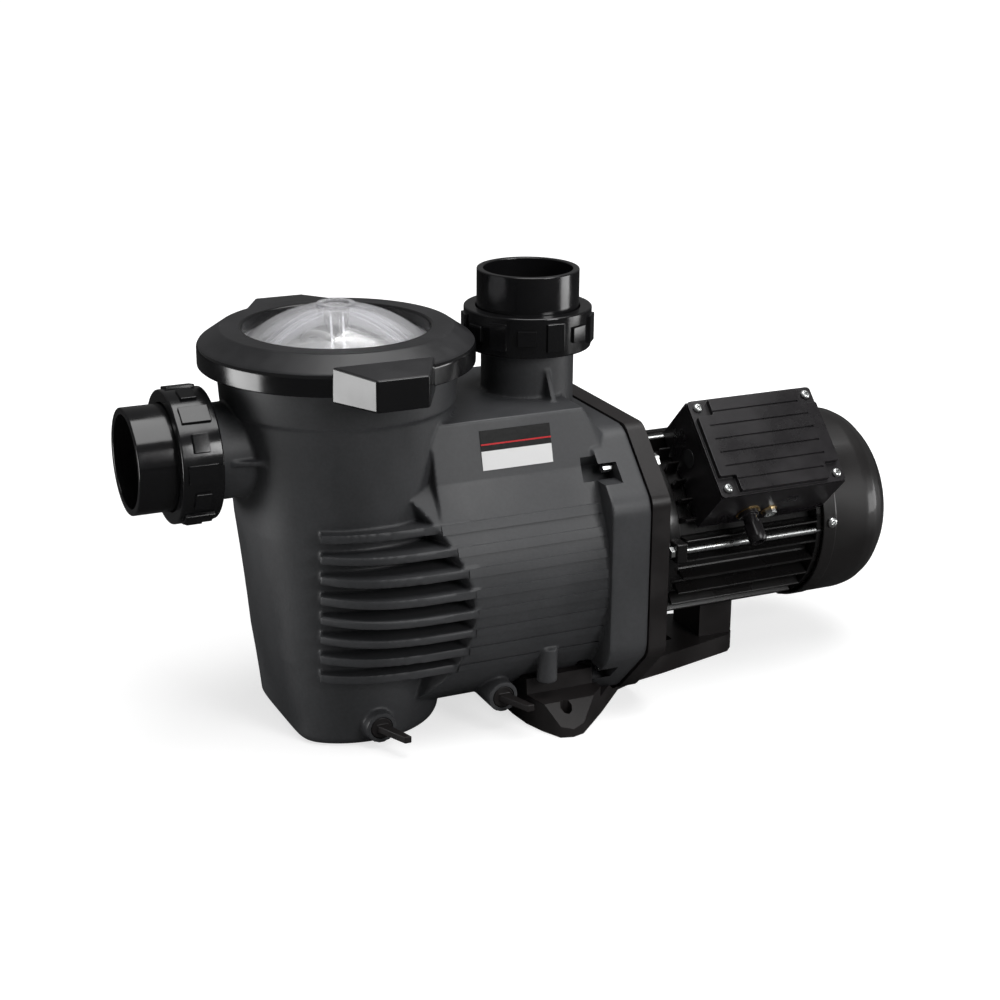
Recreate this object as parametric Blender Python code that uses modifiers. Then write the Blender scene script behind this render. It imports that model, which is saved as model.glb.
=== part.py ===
"""Self-priming swimming-pool pump: strainer tank, volute, lid, unions, base and electric motor.

The origin is on the strainer tank's axis, on the surface that the pump stands on.
+X runs along the motor's shaft, from the suction port to the fan, and +Z is up.
Sizes are in millimetres and angles in degrees; MM turns a size into Blender's metres.
"""

import math

import bmesh
import bpy
from mathutils import Matrix, Vector

MM = 0.001
GAP = 0.3  # between pieces that touch on the real pump

# Main axes
MOTOR_Z = 106.0
SUCTION_Z = 204.0
DISCHARGE_X = 143.6

# Strainer tank
TANK_FOOT_R = 67.5
TANK_TOP_R = 81.4
TANK_WALL = 5.5
TANK_FLOOR = 6.0
TANK_FLAT_X = 48.0  # the front flat's distance from the axis, at the ground
TANK_FLAT_SLOPE = 0.165
TANK_FLAT_SHARPNESS = 16.0
TANK_EDGE = 5.0
COLLAR_Z = 231.0
COLLAR_STEP = 1.4
RIM_R = 87.0
RIM_BOTTOM_Z = 256.0
RIM_TOP_Z = 268.0
RIM_BORE_R = 76.0
LEDGE_Z = 252.0
LEDGE_BORE_R = 72.5

# Volute
DRUM_R = 102.0
DRUM_FRONT_X = 57.0
CHAMBER_R = 92.0
CHAMBER_FRONT_X = 80.0
SHOULDER_FRONT_X = 41.0
SHOULDER_REAR_X = 156.0
SHOULDER_TOP_Z = 223.6
SHOULDER_TOP_HALF = 64.5
SHOULDER_CREASE_Z = 184.0
SHOULDER_CREASE_HALF = 75.0
SHOULDER_FOOT_Z = 160.0
EYE_R = 26.0
RIB_COUNT = 8
RIB_PITCH = 14.6
RIB_THICKNESS = 6.0
RIB_TOP_Z = 157.6
RIB_START_X = -41.0
RIB_BLUNT = 10.0  # how far a rib's blunt end stands off the tank
RIB_EASE = 4  # how quickly a rib's edge swings out to the drum
RIB_END_X = 60.0

# Flange, seal plate and the bolts through them
FLANGE_FRONT_X = 160.0
FLANGE_REAR_X = 190.0
FLANGE_HALF_Y = 106.0
FLANGE_HALF_Z = 100.0
FLANGE_CHAMFER = 44.0
FLANGE_CORNER_R = 12.0
PLATE_THICKNESS = 14.0
BOLT_OFFSET = 75.0
BOLT_R = 3.0
BOLT_HEAD_R = 6.0
BOLT_HEAD_H = 5.0
BOLT_POCKET_DEPTH = 14.0
CASING_RING_R = 98.0
CASING_RING_TUBE_R = 1.9

# Unions for 63 mm pipe, alike on both ports
PORT_BORE_R = 27.0
NECK_R = 33.0
THREAD_R = 38.0
THREAD_START = 2.0
THREAD_END = 17.0
NUT_LENGTH = 28.5
NUT_R = 45.6
NUT_BORE_CLEARANCE = 0.6
NUT_LIP = 5.4
TAIL_R = 36.25
TAIL_SOCKET_R = 31.6
TAIL_LENGTH = 55.0
TAIL_FLANGE_H = 4.8
UNION_RING_R = 32.5
UNION_RING_TUBE_R = 1.7
SUCTION_NUT_X = -95.0  # the nut's pump-side face
DISCHARGE_NUT_Z = 255.3

# Lid, lock ring and basket
LENS_R = 85.0
LENS_FLANGE_H = 5.0
LENS_DOME_R = 62.0
LENS_APEX_Z = 297.0
LENS_WALL = 4.0
LENS_BOSS_R = 13.0
LID_RING_R = 81.4
LID_RING_TUBE_R = 1.9
LOCK_OPENING_R = 64.1
LOCK_TOP_Z = 283.0
LOCK_TOP_R = 79.0
LOCK_SKIRT_R = 94.8
LOCK_SKIRT_TOP_Z = 272.0
LOCK_SKIRT_BOTTOM_Z = 258.0
LOCK_SKIRT_WALL = 6.8
LOBE_TIP_R = 122.0
LOBE_TIP_HALF = 18.0
LOBE_ROOT_HALF = 36.0
LOBE_TOP_Z = 278.5
LOBE_BOTTOM_Z = 254.5
BASKET_TOP_R = 65.0
BASKET_FOOT_R = 44.0
BASKET_FOOT_Z = 30.0
BASKET_WALL = 2.5
BASKET_RIM_H = 3.0
BASKET_SLOT_W = 9.0
BASKET_SLOT_PAIRS = 6
BASKET_HANDLE_R = 2.6
BASKET_HANDLE_RISE = 18.0

# Drain plugs
DRAIN_BOSS_R = 11.0
DRAIN_MOUTH_R = 8.0
DRAIN_MOUTH_DEPTH = 8.3
DRAIN_BORE_R = 6.2
DRAIN_SHANK_R = 5.6
DRAIN_SHANK_LENGTH = 14.0
DRAIN_RING_TUBE_R = 0.85
DRAIN_HANDLE_REACH = 25.0
DRAIN_HANDLE_SIDE = 10.0
DRAIN_HANDLE_THICKNESS = 5.0
TANK_DRAIN = (0.0, -76.0, 15.0)  # centre of the boss's mouth
VOLUTE_DRAIN = (88.0, -85.0, 26.0)

# Wet end round the shaft
IMPELLER_R = 62.0
IMPELLER_FRONT_X = 112.0
IMPELLER_WIDTH = 22.0
IMPELLER_EYE_R = 19.0
SHROUD = 3.0
VANE_COUNT = 6
HUB_R = 14.0
DIFFUSER_WALL = 4.0
DIFFUSER_FRONT_X = 98.0
DIFFUSER_NOSE_X = 74.0
SEAL_HUB_R = 70.0
SEAL_HUB_FRONT_X = 150.0
SEAL_HUB_WALL = 6.0
SEAT_R = 17.0
SEAT_LENGTH = 8.0
SEAL_HEAD_R = 15.0

# Motor
SHAFT_R = 8.0
SEAT_CLEARANCE = 1.5  # between the turning shaft and the fixed seat
SEAT_BORE_R = SHAFT_R + SEAT_CLEARANCE
SHAFT_FRONT_X = 106.0
SHAFT_REAR_X = 400.0
BEARING_R = 20.0
BEARING_WIDTH = 12.0
FRONT_BEARING_X = 224.0
REAR_BEARING_X = 356.0
ROTOR_R = 32.4
WINDING_R = 33.0
CORE_BORE_R = 37.5
CORE_R = 55.0
CORE_START_X = 262.0
CORE_END_X = 332.0
WINDING_OVERHANG = 15.0
WINDING_END_R = 50.0
HOUSING_R = 58.0
FIN_R = 69.0
FIN_COUNT = 28
FIN_THICKNESS = 2.6
HOUSING_START_X = 241.0
HOUSING_END_X = 352.0
SHIELD_LUG_R = 71.0
SHIELD_LUG_W = 15.0
TIE_ROD_R = 2.5
TIE_ROD_OFFSET = 65.5
TIE_ROD_HEAD_R = 4.5
TIE_ROD_HEAD_H = 3.5
FAN_R = 58.0
FAN_X = 376.0
FAN_BLADE_DEPTH = 18.0
FAN_BLADES = 7
COVER_FRONT_X = 356.5
COVER_R = 71.5
COVER_WALL = 2.0
COVER_END_X = 428.0
REAR_SHIELD_R = COVER_R - COVER_WALL - 1.2
COVER_END_R = 42.0
COVER_SLOTS = 8
COVER_SCREW_X = 363.5
COVER_SCREW_TURN = 5.0
COVER_SCREW_R = 4.0

# Terminal box, tilted about the motor's axis
BOX_TILT = 45.0
BOX_START_X = 252.0
BOX_END_X = 356.0
BOX_LOW_U = -34.0
BOX_HIGH_U = 45.0
BOX_BOTTOM_N = 56.0
BOX_TOP_N = 100.5
BOX_WALL = 4.0
BOX_FLOOR_N = 64.0
LID_FLANGE_H = 2.0
LID_PLATE_H = 4.2
LID_NOTCH = 13.0
LID_SCREW_INSET = 6.5
LID_SCREW_R = 2.0
LID_SCREW_HEAD_R = 3.6
LID_SCREW_LENGTH = 16.0
LID_POST_R = 5.4
GLAND_X = 288.0
GLAND_N = 64.0
GLAND_THREAD_R = 5.6
GLAND_NUT_R = 7.6
GLAND_STEM = 14.0
GLAND_NUT_LENGTH = 14.0
GROUND_X = 306.0
GROUND_HEAD_R = 5.0

# Base
BASE_HEIGHT = 14.0
BASE_FRONT_X = 106.0
BASE_REAR_X = 312.0
FOOT_TIP_Y = 114.0
FOOT_TIP_X = 129.0
FOOT_BLOCK_Z = 34.0
FOOT_LEDGE_Z = 21.0
FOOT_BLOCK_Y = 81.0
FOOT_LEDGE_Y = 98.0
FOOT_INNER_Y = 62.0
FOOT_END_X = 154.0
FOOT_HOLE_R = 4.5
PILLAR_START_X = 283.0
PILLAR_HALF_Y = 20.0
BASE_SLOT = (246.0, 262.0, 16.0)  # start, end and half width
BASE_SCREW_X = 197.0
BASE_SCREW_Y = 32.0
BASE_SCREW_R = 2.7
SIDE_BOSS_X = 120.0
SIDE_BOSS_Y = 88.0
SIDE_BOSS_R = 7.2
SIDE_BOSS_TOP_Z = 60.0

ROUND = 32  # sides of a large round piece
MEDIUM = 16
SMALL = 8
BORE_SPIN = 4.0  # keeps a bore's corners off the corners of the round piece that it is cut from

X_AXIS = (0.0, 90.0, 0.0)  # turns a piece's own +Z to +X
NEAR_AXIS = (90.0, 0.0, 0.0)  # turns it to -Y
UP_AXIS = (0.0, 0.0, 0.0)
CROSS_SECTION = (90.0, 0.0, 90.0)  # turns an outline's x, y to the world's Y, Z

parts = None
cutters = None


# ---------------------------------------------------------------- scene and materials


def clear_scene():
    for item in list(bpy.data.objects):
        bpy.data.objects.remove(item, do_unlink=True)


def new_collection(name):
    collection = bpy.data.collections.new(name)
    bpy.context.scene.collection.children.link(collection)
    return collection


def material(name, color, roughness, metallic=0.0, alpha=1.0):
    made = bpy.data.materials.new(name)
    made.use_nodes = True
    shader = made.node_tree.nodes["Principled BSDF"]
    shader.inputs["Base Color"].default_value = (*color, 1.0)
    shader.inputs["Roughness"].default_value = roughness
    shader.inputs["Metallic"].default_value = metallic
    shader.inputs["Alpha"].default_value = alpha
    return made


# ---------------------------------------------------------------- building blocks


def place(name, mesh, at, turn):
    """Makes an object, placed in millimetres and degrees. It is a helper until finish() names it a part."""
    item = bpy.data.objects.new(name, mesh)
    item.location = Vector(at) * MM
    item.rotation_euler = [math.radians(angle) for angle in turn]
    item.hide_render = True
    item.display_type = "WIRE"
    cutters.objects.link(item)
    return item


def finish(item, name, finish_material, parent=None):
    """Moves a helper to the parts, with its name, material and smooth shading."""
    cutters.objects.unlink(item)
    parts.objects.link(item)
    item.name = name
    item.data.name = name
    item.hide_render = False
    item.display_type = "TEXTURED"
    item.data.materials.append(finish_material)
    item.data.shade_smooth()
    item.data.set_sharp_from_angle(angle=math.radians(40.0))
    if parent is not None:
        item.parent = parent
        bpy.context.view_layer.update()
        item.matrix_parent_inverse = parent.matrix_world.inverted()
    return item


def signed_area(outline):
    pairs = zip(outline, outline[1:] + outline[:1])
    return sum(a[0] * b[1] - b[0] * a[1] for a, b in pairs) / 2


def turned(outline, at=(0, 0, 0), turn=UP_AXIS, sides=ROUND, name="turned"):
    """Turns a closed outline of (radius, height) points about its own Z with a Screw modifier."""
    if signed_area(outline) > 0:
        outline = outline[::-1]
    mesh = bpy.data.meshes.new(name)
    count = len(outline)
    edges = []
    for start in range(count):
        end = (start + 1) % count
        if outline[start][0] > 0 or outline[end][0] > 0:
            edges.append((start, end))
    mesh.from_pydata([(r * MM, 0.0, h * MM) for r, h in outline], edges, [])
    item = place(name, mesh, at, turn)
    screw = item.modifiers.new("Turn", "SCREW")
    screw.axis = "Z"
    screw.angle = math.tau
    screw.steps = sides
    screw.render_steps = sides
    screw.use_merge_vertices = True
    screw.merge_threshold = 0.00001
    screw.use_smooth_shade = True
    return item


def rod(radius, length, at, turn=UP_AXIS, sides=SMALL, name="rod"):
    """A solid cylinder from at, along its own Z."""
    mesh = bpy.data.meshes.new(name)
    work = bmesh.new()
    lift = Matrix.Translation((0, 0, length * MM / 2)) @ Matrix.Rotation(math.radians(BORE_SPIN), 4, "Z")
    bmesh.ops.create_cone(work, cap_ends=True, segments=sides, radius1=radius * MM,
                          radius2=radius * MM, depth=length * MM, matrix=lift)
    work.to_mesh(mesh)
    work.free()
    return place(name, mesh, at, turn)


def bore(radius, length, at, turn=UP_AXIS, sides=SMALL, name="bore"):
    """A cutter for the hole that a piece of this radius passes through with a gap all round."""
    return rod((radius + GAP) / math.cos(math.pi / sides), length, at, turn, sides, name)


def block(low, high, at=(0, 0, 0), turn=UP_AXIS, name="block"):
    """A box between two corners, in the frame given by at and turn."""
    low = Vector(low) * MM
    high = Vector(high) * MM
    size = Matrix.Diagonal((*(high - low), 1.0))
    mesh = bpy.data.meshes.new(name)
    work = bmesh.new()
    bmesh.ops.create_cube(work, size=1.0, matrix=Matrix.Translation((low + high) / 2) @ size)
    work.to_mesh(mesh)
    work.free()
    return place(name, mesh, at, turn)


def torus(ring_r, tube_r, at, turn=UP_AXIS, sides=ROUND, tube_sides=8, name="torus"):
    tube = [(ring_r + tube_r * math.cos(math.tau * step / tube_sides),
             tube_r * math.sin(math.tau * step / tube_sides)) for step in range(tube_sides)]
    return turned(tube, at, turn, sides, name)


def solid_from_curve(curve_item):
    """Turns a curve object into a mesh object in its place, with its caps welded."""
    bpy.context.view_layer.update()
    graph = bpy.context.evaluated_depsgraph_get()
    mesh = bpy.data.meshes.new_from_object(curve_item.evaluated_get(graph))
    work = bmesh.new()
    work.from_mesh(mesh)
    bmesh.ops.remove_doubles(work, verts=work.verts, dist=0.000005)
    bmesh.ops.recalc_face_normals(work, faces=work.faces)
    work.to_mesh(mesh)
    work.free()
    item = bpy.data.objects.new(curve_item.name, mesh)
    item.matrix_world = curve_item.matrix_world
    item.hide_render = True
    item.display_type = "WIRE"
    cutters.objects.link(item)
    bpy.data.objects.remove(curve_item, do_unlink=True)
    return item


def plate(outlines, thickness, at=(0, 0, 0), turn=UP_AXIS, name="plate"):
    """A flat plate from its outline, and the outlines of its holes, standing on its own z = 0."""
    curve = bpy.data.curves.new(name, "CURVE")
    curve.dimensions = "2D"
    curve.fill_mode = "BOTH"
    curve.extrude = thickness * MM / 2
    for outline in outlines:
        spline = curve.splines.new("POLY")
        spline.points.add(len(outline) - 1)
        for point, (x, y) in zip(spline.points, outline):
            point.co = (x * MM, y * MM, 0.0, 1.0)
        spline.use_cyclic_u = True
    item = place(name, curve, at, turn)
    bpy.context.view_layer.update()
    item.location += item.matrix_world.to_3x3() @ Vector((0, 0, thickness * MM / 2))
    return solid_from_curve(item)


def tube(points, radius, name="tube"):
    """A round bar along points in millimetres."""
    curve = bpy.data.curves.new(name, "CURVE")
    curve.dimensions = "3D"
    curve.bevel_depth = radius * MM
    curve.bevel_resolution = 1
    curve.use_fill_caps = True
    spline = curve.splines.new("POLY")
    spline.points.add(len(points) - 1)
    for point, co in zip(spline.points, points):
        point.co = (*(Vector(co) * MM), 1.0)
    return solid_from_curve(place(name, curve, (0, 0, 0), UP_AXIS))


def combine(item, operation, tools):
    for tool in tools:
        modifier = item.modifiers.new(tool.name, "BOOLEAN")
        modifier.operation = operation
        modifier.solver = "EXACT"
        modifier.object = tool
    return item


def join(item, *tools):
    return combine(item, "UNION", tools)


def cut(item, *tools):
    return combine(item, "DIFFERENCE", tools)


def arc(centre, radius, start, end, steps):
    """Points on an arc, angles in degrees."""
    points = []
    for step in range(steps + 1):
        angle = math.radians(start + (end - start) * step / steps)
        points.append((centre[0] + radius * math.cos(angle), centre[1] + radius * math.sin(angle)))
    return points


def rounded(corners, radius, steps=3):
    """Rounds the corners of a convex outline that runs anticlockwise."""
    points = []
    count = len(corners)
    for number in range(count):
        before = Vector(corners[number - 1])
        corner = Vector(corners[number])
        after = Vector(corners[(number + 1) % count])
        inward = (before - corner).normalized()
        outward = (after - corner).normalized()
        half = inward.angle(outward) / 2
        centre = corner + (inward + outward).normalized() * radius / math.sin(half)
        first = corner + inward * radius / math.tan(half) - centre
        last = corner + outward * radius / math.tan(half) - centre
        for step in range(steps + 1):
            between = first.lerp(last, step / steps).normalized() * radius
            points.append(tuple(centre + between))
    return points


def circle(radius, sides=MEDIUM, centre=(0.0, 0.0), turn=0.0):
    return [(centre[0] + radius * math.cos(math.tau * step / sides + math.radians(turn)),
             centre[1] + radius * math.sin(math.tau * step / sides + math.radians(turn)))
            for step in range(sides)]


def ring_outline(inner, outer, low, high):
    return [(inner, low), (outer, low), (outer, high), (inner, high)]


# ---------------------------------------------------------------- strainer tank and volute


def tank_radius(z):
    return TANK_FOOT_R + (TANK_TOP_R - TANK_FOOT_R) * min(z, RIM_BOTTOM_Z) / RIM_BOTTOM_Z


def tank_loft(levels, inset, name):
    """A loft through round sections whose front side is pressed flat. A level is (z, added radius)."""
    mesh = bpy.data.meshes.new(name)
    work = bmesh.new()
    rings = []
    for z, extra in levels:
        radius = tank_radius(z) + extra - inset
        flat = TANK_FLAT_X + TANK_FLAT_SLOPE * z + min(extra, 0.0) - inset
        ring = []
        for step in range(ROUND):
            angle = math.tau * step / ROUND
            reach = radius
            forward = -math.cos(angle)
            if forward > 0.01:
                power = TANK_FLAT_SHARPNESS
                reach = (radius ** -power + (flat / forward) ** -power) ** (-1 / power)
            ring.append(work.verts.new((reach * math.cos(angle) * MM, reach * math.sin(angle) * MM,
                                        z * MM)))
        rings.append(ring)
    for lower, upper in zip(rings, rings[1:]):
        for step in range(ROUND):
            after = (step + 1) % ROUND
            work.faces.new((lower[step], lower[after], upper[after], upper[step]))
    work.faces.new(rings[0][::-1])
    work.faces.new(rings[-1])
    work.to_mesh(mesh)
    work.free()
    return place(name, mesh, (0, 0, 0), UP_AXIS)


def shoulder_outline():
    """Half-octagonal shoulder above the drum, as Y and Z."""
    return [(-SHOULDER_CREASE_HALF, SHOULDER_CREASE_Z), (-drum_half(SHOULDER_FOOT_Z), SHOULDER_FOOT_Z),
            (-60.0, MOTOR_Z), (60.0, MOTOR_Z), (drum_half(SHOULDER_FOOT_Z), SHOULDER_FOOT_Z),
            (SHOULDER_CREASE_HALF, SHOULDER_CREASE_Z), (SHOULDER_TOP_HALF, SHOULDER_TOP_Z),
            (-SHOULDER_TOP_HALF, SHOULDER_TOP_Z)]


def drum_half(z):
    """The drum's half width at a height."""
    return math.sqrt(DRUM_R ** 2 - (z - MOTOR_Z) ** 2)


def rib(number):
    """One of the horizontal ribs that bridge the corner between the tank and the drum."""
    middle = RIB_TOP_Z - RIB_PITCH * number
    tank_half = math.sqrt(tank_radius(middle) ** 2 - RIB_START_X ** 2)
    start_half = tank_half + RIB_BLUNT
    end_half = drum_half(middle)
    near = [(RIB_START_X + 5.0, -tank_half + 4.0)]
    steps = 7
    for step in range(steps + 1):
        share = (step / steps) ** 1.4
        near.append((RIB_START_X + (RIB_END_X - RIB_START_X) * share,
                     -(end_half - (end_half - start_half) * (1 - share) ** RIB_EASE)))
    far = [(x, -y) for x, y in reversed(near)]
    return plate([near + far], RIB_THICKNESS, (0, 0, middle - RIB_THICKNESS / 2), name=f"rib_{number}")


def flange_outline(grow=0.0):
    """The octagonal flange as Y and Z about the motor's axis."""
    y = FLANGE_HALF_Y + grow
    z = FLANGE_HALF_Z + grow
    c = FLANGE_CHAMFER
    corners = [(-y, -z + c), (-y + c, -z), (y - c, -z), (y, -z + c), (y, z - c), (y - c, z), (-y + c, z),
               (-y, z - c)]
    return rounded(corners, FLANGE_CORNER_R)


def bolt_places():
    return [(side * BOLT_OFFSET, level * BOLT_OFFSET + MOTOR_Z) for side in (-1, 1) for level in (1, -1)]


def spigot(at, turn, reach, name):
    """A port's neck, thread and ring groove: it starts inside the body, and the bore is cut later."""
    core = PORT_BORE_R - 10
    groove_low = UNION_RING_R - UNION_RING_TUBE_R - GAP
    groove_high = UNION_RING_R + UNION_RING_TUBE_R + GAP
    groove_floor = THREAD_END - 2 * UNION_RING_TUBE_R - GAP
    outline = [(core, -reach), (NECK_R, -reach), (NECK_R, THREAD_START), (THREAD_R, THREAD_START),
               (THREAD_R, THREAD_END), (groove_high, THREAD_END), (groove_high, groove_floor),
               (groove_low, groove_floor), (groove_low, THREAD_END), (core, THREAD_END)]
    return turned(outline, at, turn, ROUND, name)


SUCTION_AT = (SUCTION_NUT_X, 0, SUCTION_Z)
SUCTION_TURN = (0.0, -90.0, 0.0)
DISCHARGE_AT = (DISCHARGE_X, 0, DISCHARGE_NUT_Z)


def drain_boss(at, reach, name):
    mouth = (at[0], at[1] + reach, at[2])
    return rod(DRAIN_BOSS_R, reach, mouth, NEAR_AXIS, 24, name)


def drain_bore(at, reach, name):
    mouth_r = DRAIN_MOUTH_R / math.cos(math.pi / MEDIUM)
    outline = [(0, -reach), (DRAIN_BORE_R, -reach), (DRAIN_BORE_R, -DRAIN_MOUTH_DEPTH),
               (mouth_r, -DRAIN_MOUTH_DEPTH), (mouth_r, 1), (0, 1)]
    return turned(outline, at, NEAR_AXIS, MEDIUM, name)


def pump_body(finish_material):
    outer = [(0, -TANK_EDGE), (TANK_EDGE * 0.3, -TANK_EDGE * 0.3), (TANK_EDGE, 0), (60, 0), (150, 0),
             (COLLAR_Z, 0), (COLLAR_Z + 0.6, COLLAR_STEP), (RIM_BOTTOM_Z, COLLAR_STEP),
             (RIM_BOTTOM_Z + 4, RIM_R - TANK_TOP_R), (RIM_TOP_Z, RIM_R - TANK_TOP_R)]
    body = tank_loft(outer, 0.0, "pump_body")
    drum = rod(DRUM_R, FLANGE_FRONT_X + 5 - DRUM_FRONT_X, (DRUM_FRONT_X, 0, MOTOR_Z), X_AXIS, 40, "drum")
    shoulder = plate([shoulder_outline()], FLANGE_FRONT_X + 8 - SHOULDER_FRONT_X, (SHOULDER_FRONT_X, 0, 0),
                     CROSS_SECTION, "shoulder")
    slope = plate([[(SHOULDER_REAR_X, SHOULDER_TOP_Z + 5), (SHOULDER_REAR_X, SHOULDER_TOP_Z),
                    (FLANGE_FRONT_X + 12, MOTOR_Z + FLANGE_HALF_Z - 4),
                    (FLANGE_FRONT_X + 12, SHOULDER_TOP_Z + 5)]],
                  2 * DRUM_R, (0, DRUM_R, 0), NEAR_AXIS, "shoulder_slope")
    flange = plate([flange_outline()], FLANGE_REAR_X - FLANGE_FRONT_X, (FLANGE_FRONT_X, 0, MOTOR_Z),
                   CROSS_SECTION, "flange")
    suction = spigot(SUCTION_AT, SUCTION_TURN, -SUCTION_NUT_X - TANK_FOOT_R + 10, "suction_spigot")
    discharge = spigot(DISCHARGE_AT, UP_AXIS, DISCHARGE_NUT_Z - SHOULDER_TOP_Z + 10, "discharge_spigot")
    gusset = plate([[(-NECK_R + 3, SHOULDER_TOP_Z - 2), (-NECK_R + 1, SHOULDER_TOP_Z + 20),
                     (-NECK_R - 14, SHOULDER_TOP_Z - 2)]], 4.0, (DISCHARGE_X - 2, 0, 0), CROSS_SECTION,
                     "gusset")
    fin_outline = [(SUCTION_NUT_X + 8, -NECK_R + 2), (-60, -NECK_R + 2), (-60, -45), (-70, -40),
                   (SUCTION_NUT_X + 8, -NECK_R - 0.5)]
    neck_fin = plate([fin_outline], 3.0, (0, 0, SUCTION_Z - 1.5), name="neck_fin")
    tank_boss = drain_boss(TANK_DRAIN, 20.0, "tank_boss")
    volute_boss = drain_boss(VOLUTE_DRAIN, 35.0, "volute_boss")
    side_bosses = []
    for side in (-1, 1):
        low = FOOT_BLOCK_Z + GAP
        side_bosses.append(rod(SIDE_BOSS_R, SIDE_BOSS_TOP_Z - low, (SIDE_BOSS_X, side * SIDE_BOSS_Y, low),
                               UP_AXIS, SMALL, "side_boss"))
    join(body, *[rib(number) for number in range(RIB_COUNT)])
    cut(shoulder, slope)
    join(body, drum, shoulder, flange, suction, discharge, gusset, neck_fin, tank_boss, volute_boss)
    join(body, *side_bosses)

    inner = [(TANK_FLOOR, -4), (TANK_FLOOR + 4, 0), (60, 0), (150, 0), (LEDGE_Z - 20, 0),
             (LEDGE_Z - 8, LEDGE_BORE_R - TANK_TOP_R + TANK_WALL),
             (LEDGE_Z + 1, LEDGE_BORE_R - TANK_TOP_R + TANK_WALL)]
    cavity = tank_loft(inner, TANK_WALL, "tank_cavity")
    mouth = rod(RIM_BORE_R, RIM_TOP_Z - LEDGE_Z + 2, (0, 0, LEDGE_Z), UP_AXIS, ROUND, "tank_mouth")
    groove_half = LID_RING_TUBE_R + GAP
    lid_groove = turned(ring_outline(LID_RING_R - groove_half, LID_RING_R + groove_half,
                                     RIM_TOP_Z - 2 * LID_RING_TUBE_R, RIM_TOP_Z + 1), sides=ROUND,
                                     name="lid_groove")
    eye = rod(EYE_R, CHAMBER_FRONT_X + 4 - 55, (55, 0, MOTOR_Z), X_AXIS, MEDIUM, "eye")
    chamber = rod(CHAMBER_R, FLANGE_REAR_X + 2 - CHAMBER_FRONT_X, (CHAMBER_FRONT_X, 0, MOTOR_Z), X_AXIS,
                  ROUND, "chamber")
    suction_bore = rod(PORT_BORE_R, THREAD_END + 46, (SUCTION_NUT_X + 45, 0, SUCTION_Z), SUCTION_TURN,
                       MEDIUM, "suction_bore")
    discharge_bore = rod(PORT_BORE_R, DISCHARGE_NUT_Z + THREAD_END + 1 - MOTOR_Z - 80,
                         (DISCHARGE_X, 0, MOTOR_Z + 80), UP_AXIS, MEDIUM, "discharge_bore")
    casing_groove = turned(ring_outline(CASING_RING_R - groove_half, CASING_RING_R + groove_half,
                                        -2 * CASING_RING_TUBE_R, 1), (FLANGE_REAR_X, 0, MOTOR_Z), X_AXIS,
                           ROUND, "casing_groove")
    join(cavity, mouth, eye, chamber, suction_bore, discharge_bore)
    join(cavity, drain_bore(TANK_DRAIN, 24.0, "tank_drain_bore"),
         drain_bore(VOLUTE_DRAIN, 44.0, "volute_drain_bore"))
    cut(body, cavity, lid_groove, casing_groove)
    for y, z in bolt_places():
        hole = bore(BOLT_R, FLANGE_REAR_X - FLANGE_FRONT_X + 10, (FLANGE_FRONT_X - 4, y, z), X_AXIS,
                   SMALL, "bolt_hole")
        side = math.copysign(1, y)
        level = math.copysign(1, z - MOTOR_Z)
        corner = Vector((FLANGE_FRONT_X - 10, y, z))
        pocket = block((0, -8, -8), (BOLT_POCKET_DEPTH + 10, 8, 8), corner, (45.0 * side * level, 0, 0),
                       "pocket")
        edges = sorted((0.0, 30.0 * side))
        outward = block((0, edges[0], -6), (BOLT_POCKET_DEPTH + 10, edges[1], 6), corner,
                        name="pocket_mouth")
        join(pocket, outward)
        cut(body, hole, pocket)
    return finish(body, "pump_body", finish_material)


# ---------------------------------------------------------------- lid, basket and unions


def dome_point(share, low_r, low_z, apex_z):
    """A point on the spherical cap that joins the flange to the apex."""
    rise = apex_z - low_z
    radius = (low_r ** 2 + rise ** 2) / (2 * rise)
    angle = math.asin(low_r / radius) * share
    return radius * math.sin(angle), apex_z - radius * (1 - math.cos(angle))


def lid_lens(finish_material):
    bottom = RIM_TOP_Z + GAP
    top = bottom + LENS_FLANGE_H
    steps = 5
    outer = [dome_point(1 - step / steps, LENS_DOME_R, top, LENS_APEX_Z) for step in range(steps)]
    inner = [dome_point(step / steps, LENS_DOME_R - LENS_WALL, bottom, LENS_APEX_Z - LENS_WALL)
             for step in range(steps + 1)]
    boss = [(LENS_BOSS_R, LENS_APEX_Z - 1.0), (LENS_BOSS_R, LENS_APEX_Z + 1.0), (0, LENS_APEX_Z + 1.0)]
    outline = [(LENS_R, bottom), (LENS_R, top)] + outer[:-1] + boss + inner
    return finish(turned(outline), "lid_lens", finish_material)


def lid_o_ring(finish_material):
    return finish(torus(LID_RING_R, LID_RING_TUBE_R, (0, 0, RIM_TOP_Z - LID_RING_TUBE_R), sides=ROUND,
                        tube_sides=6),
                  "lid_o_ring", finish_material)


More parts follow.
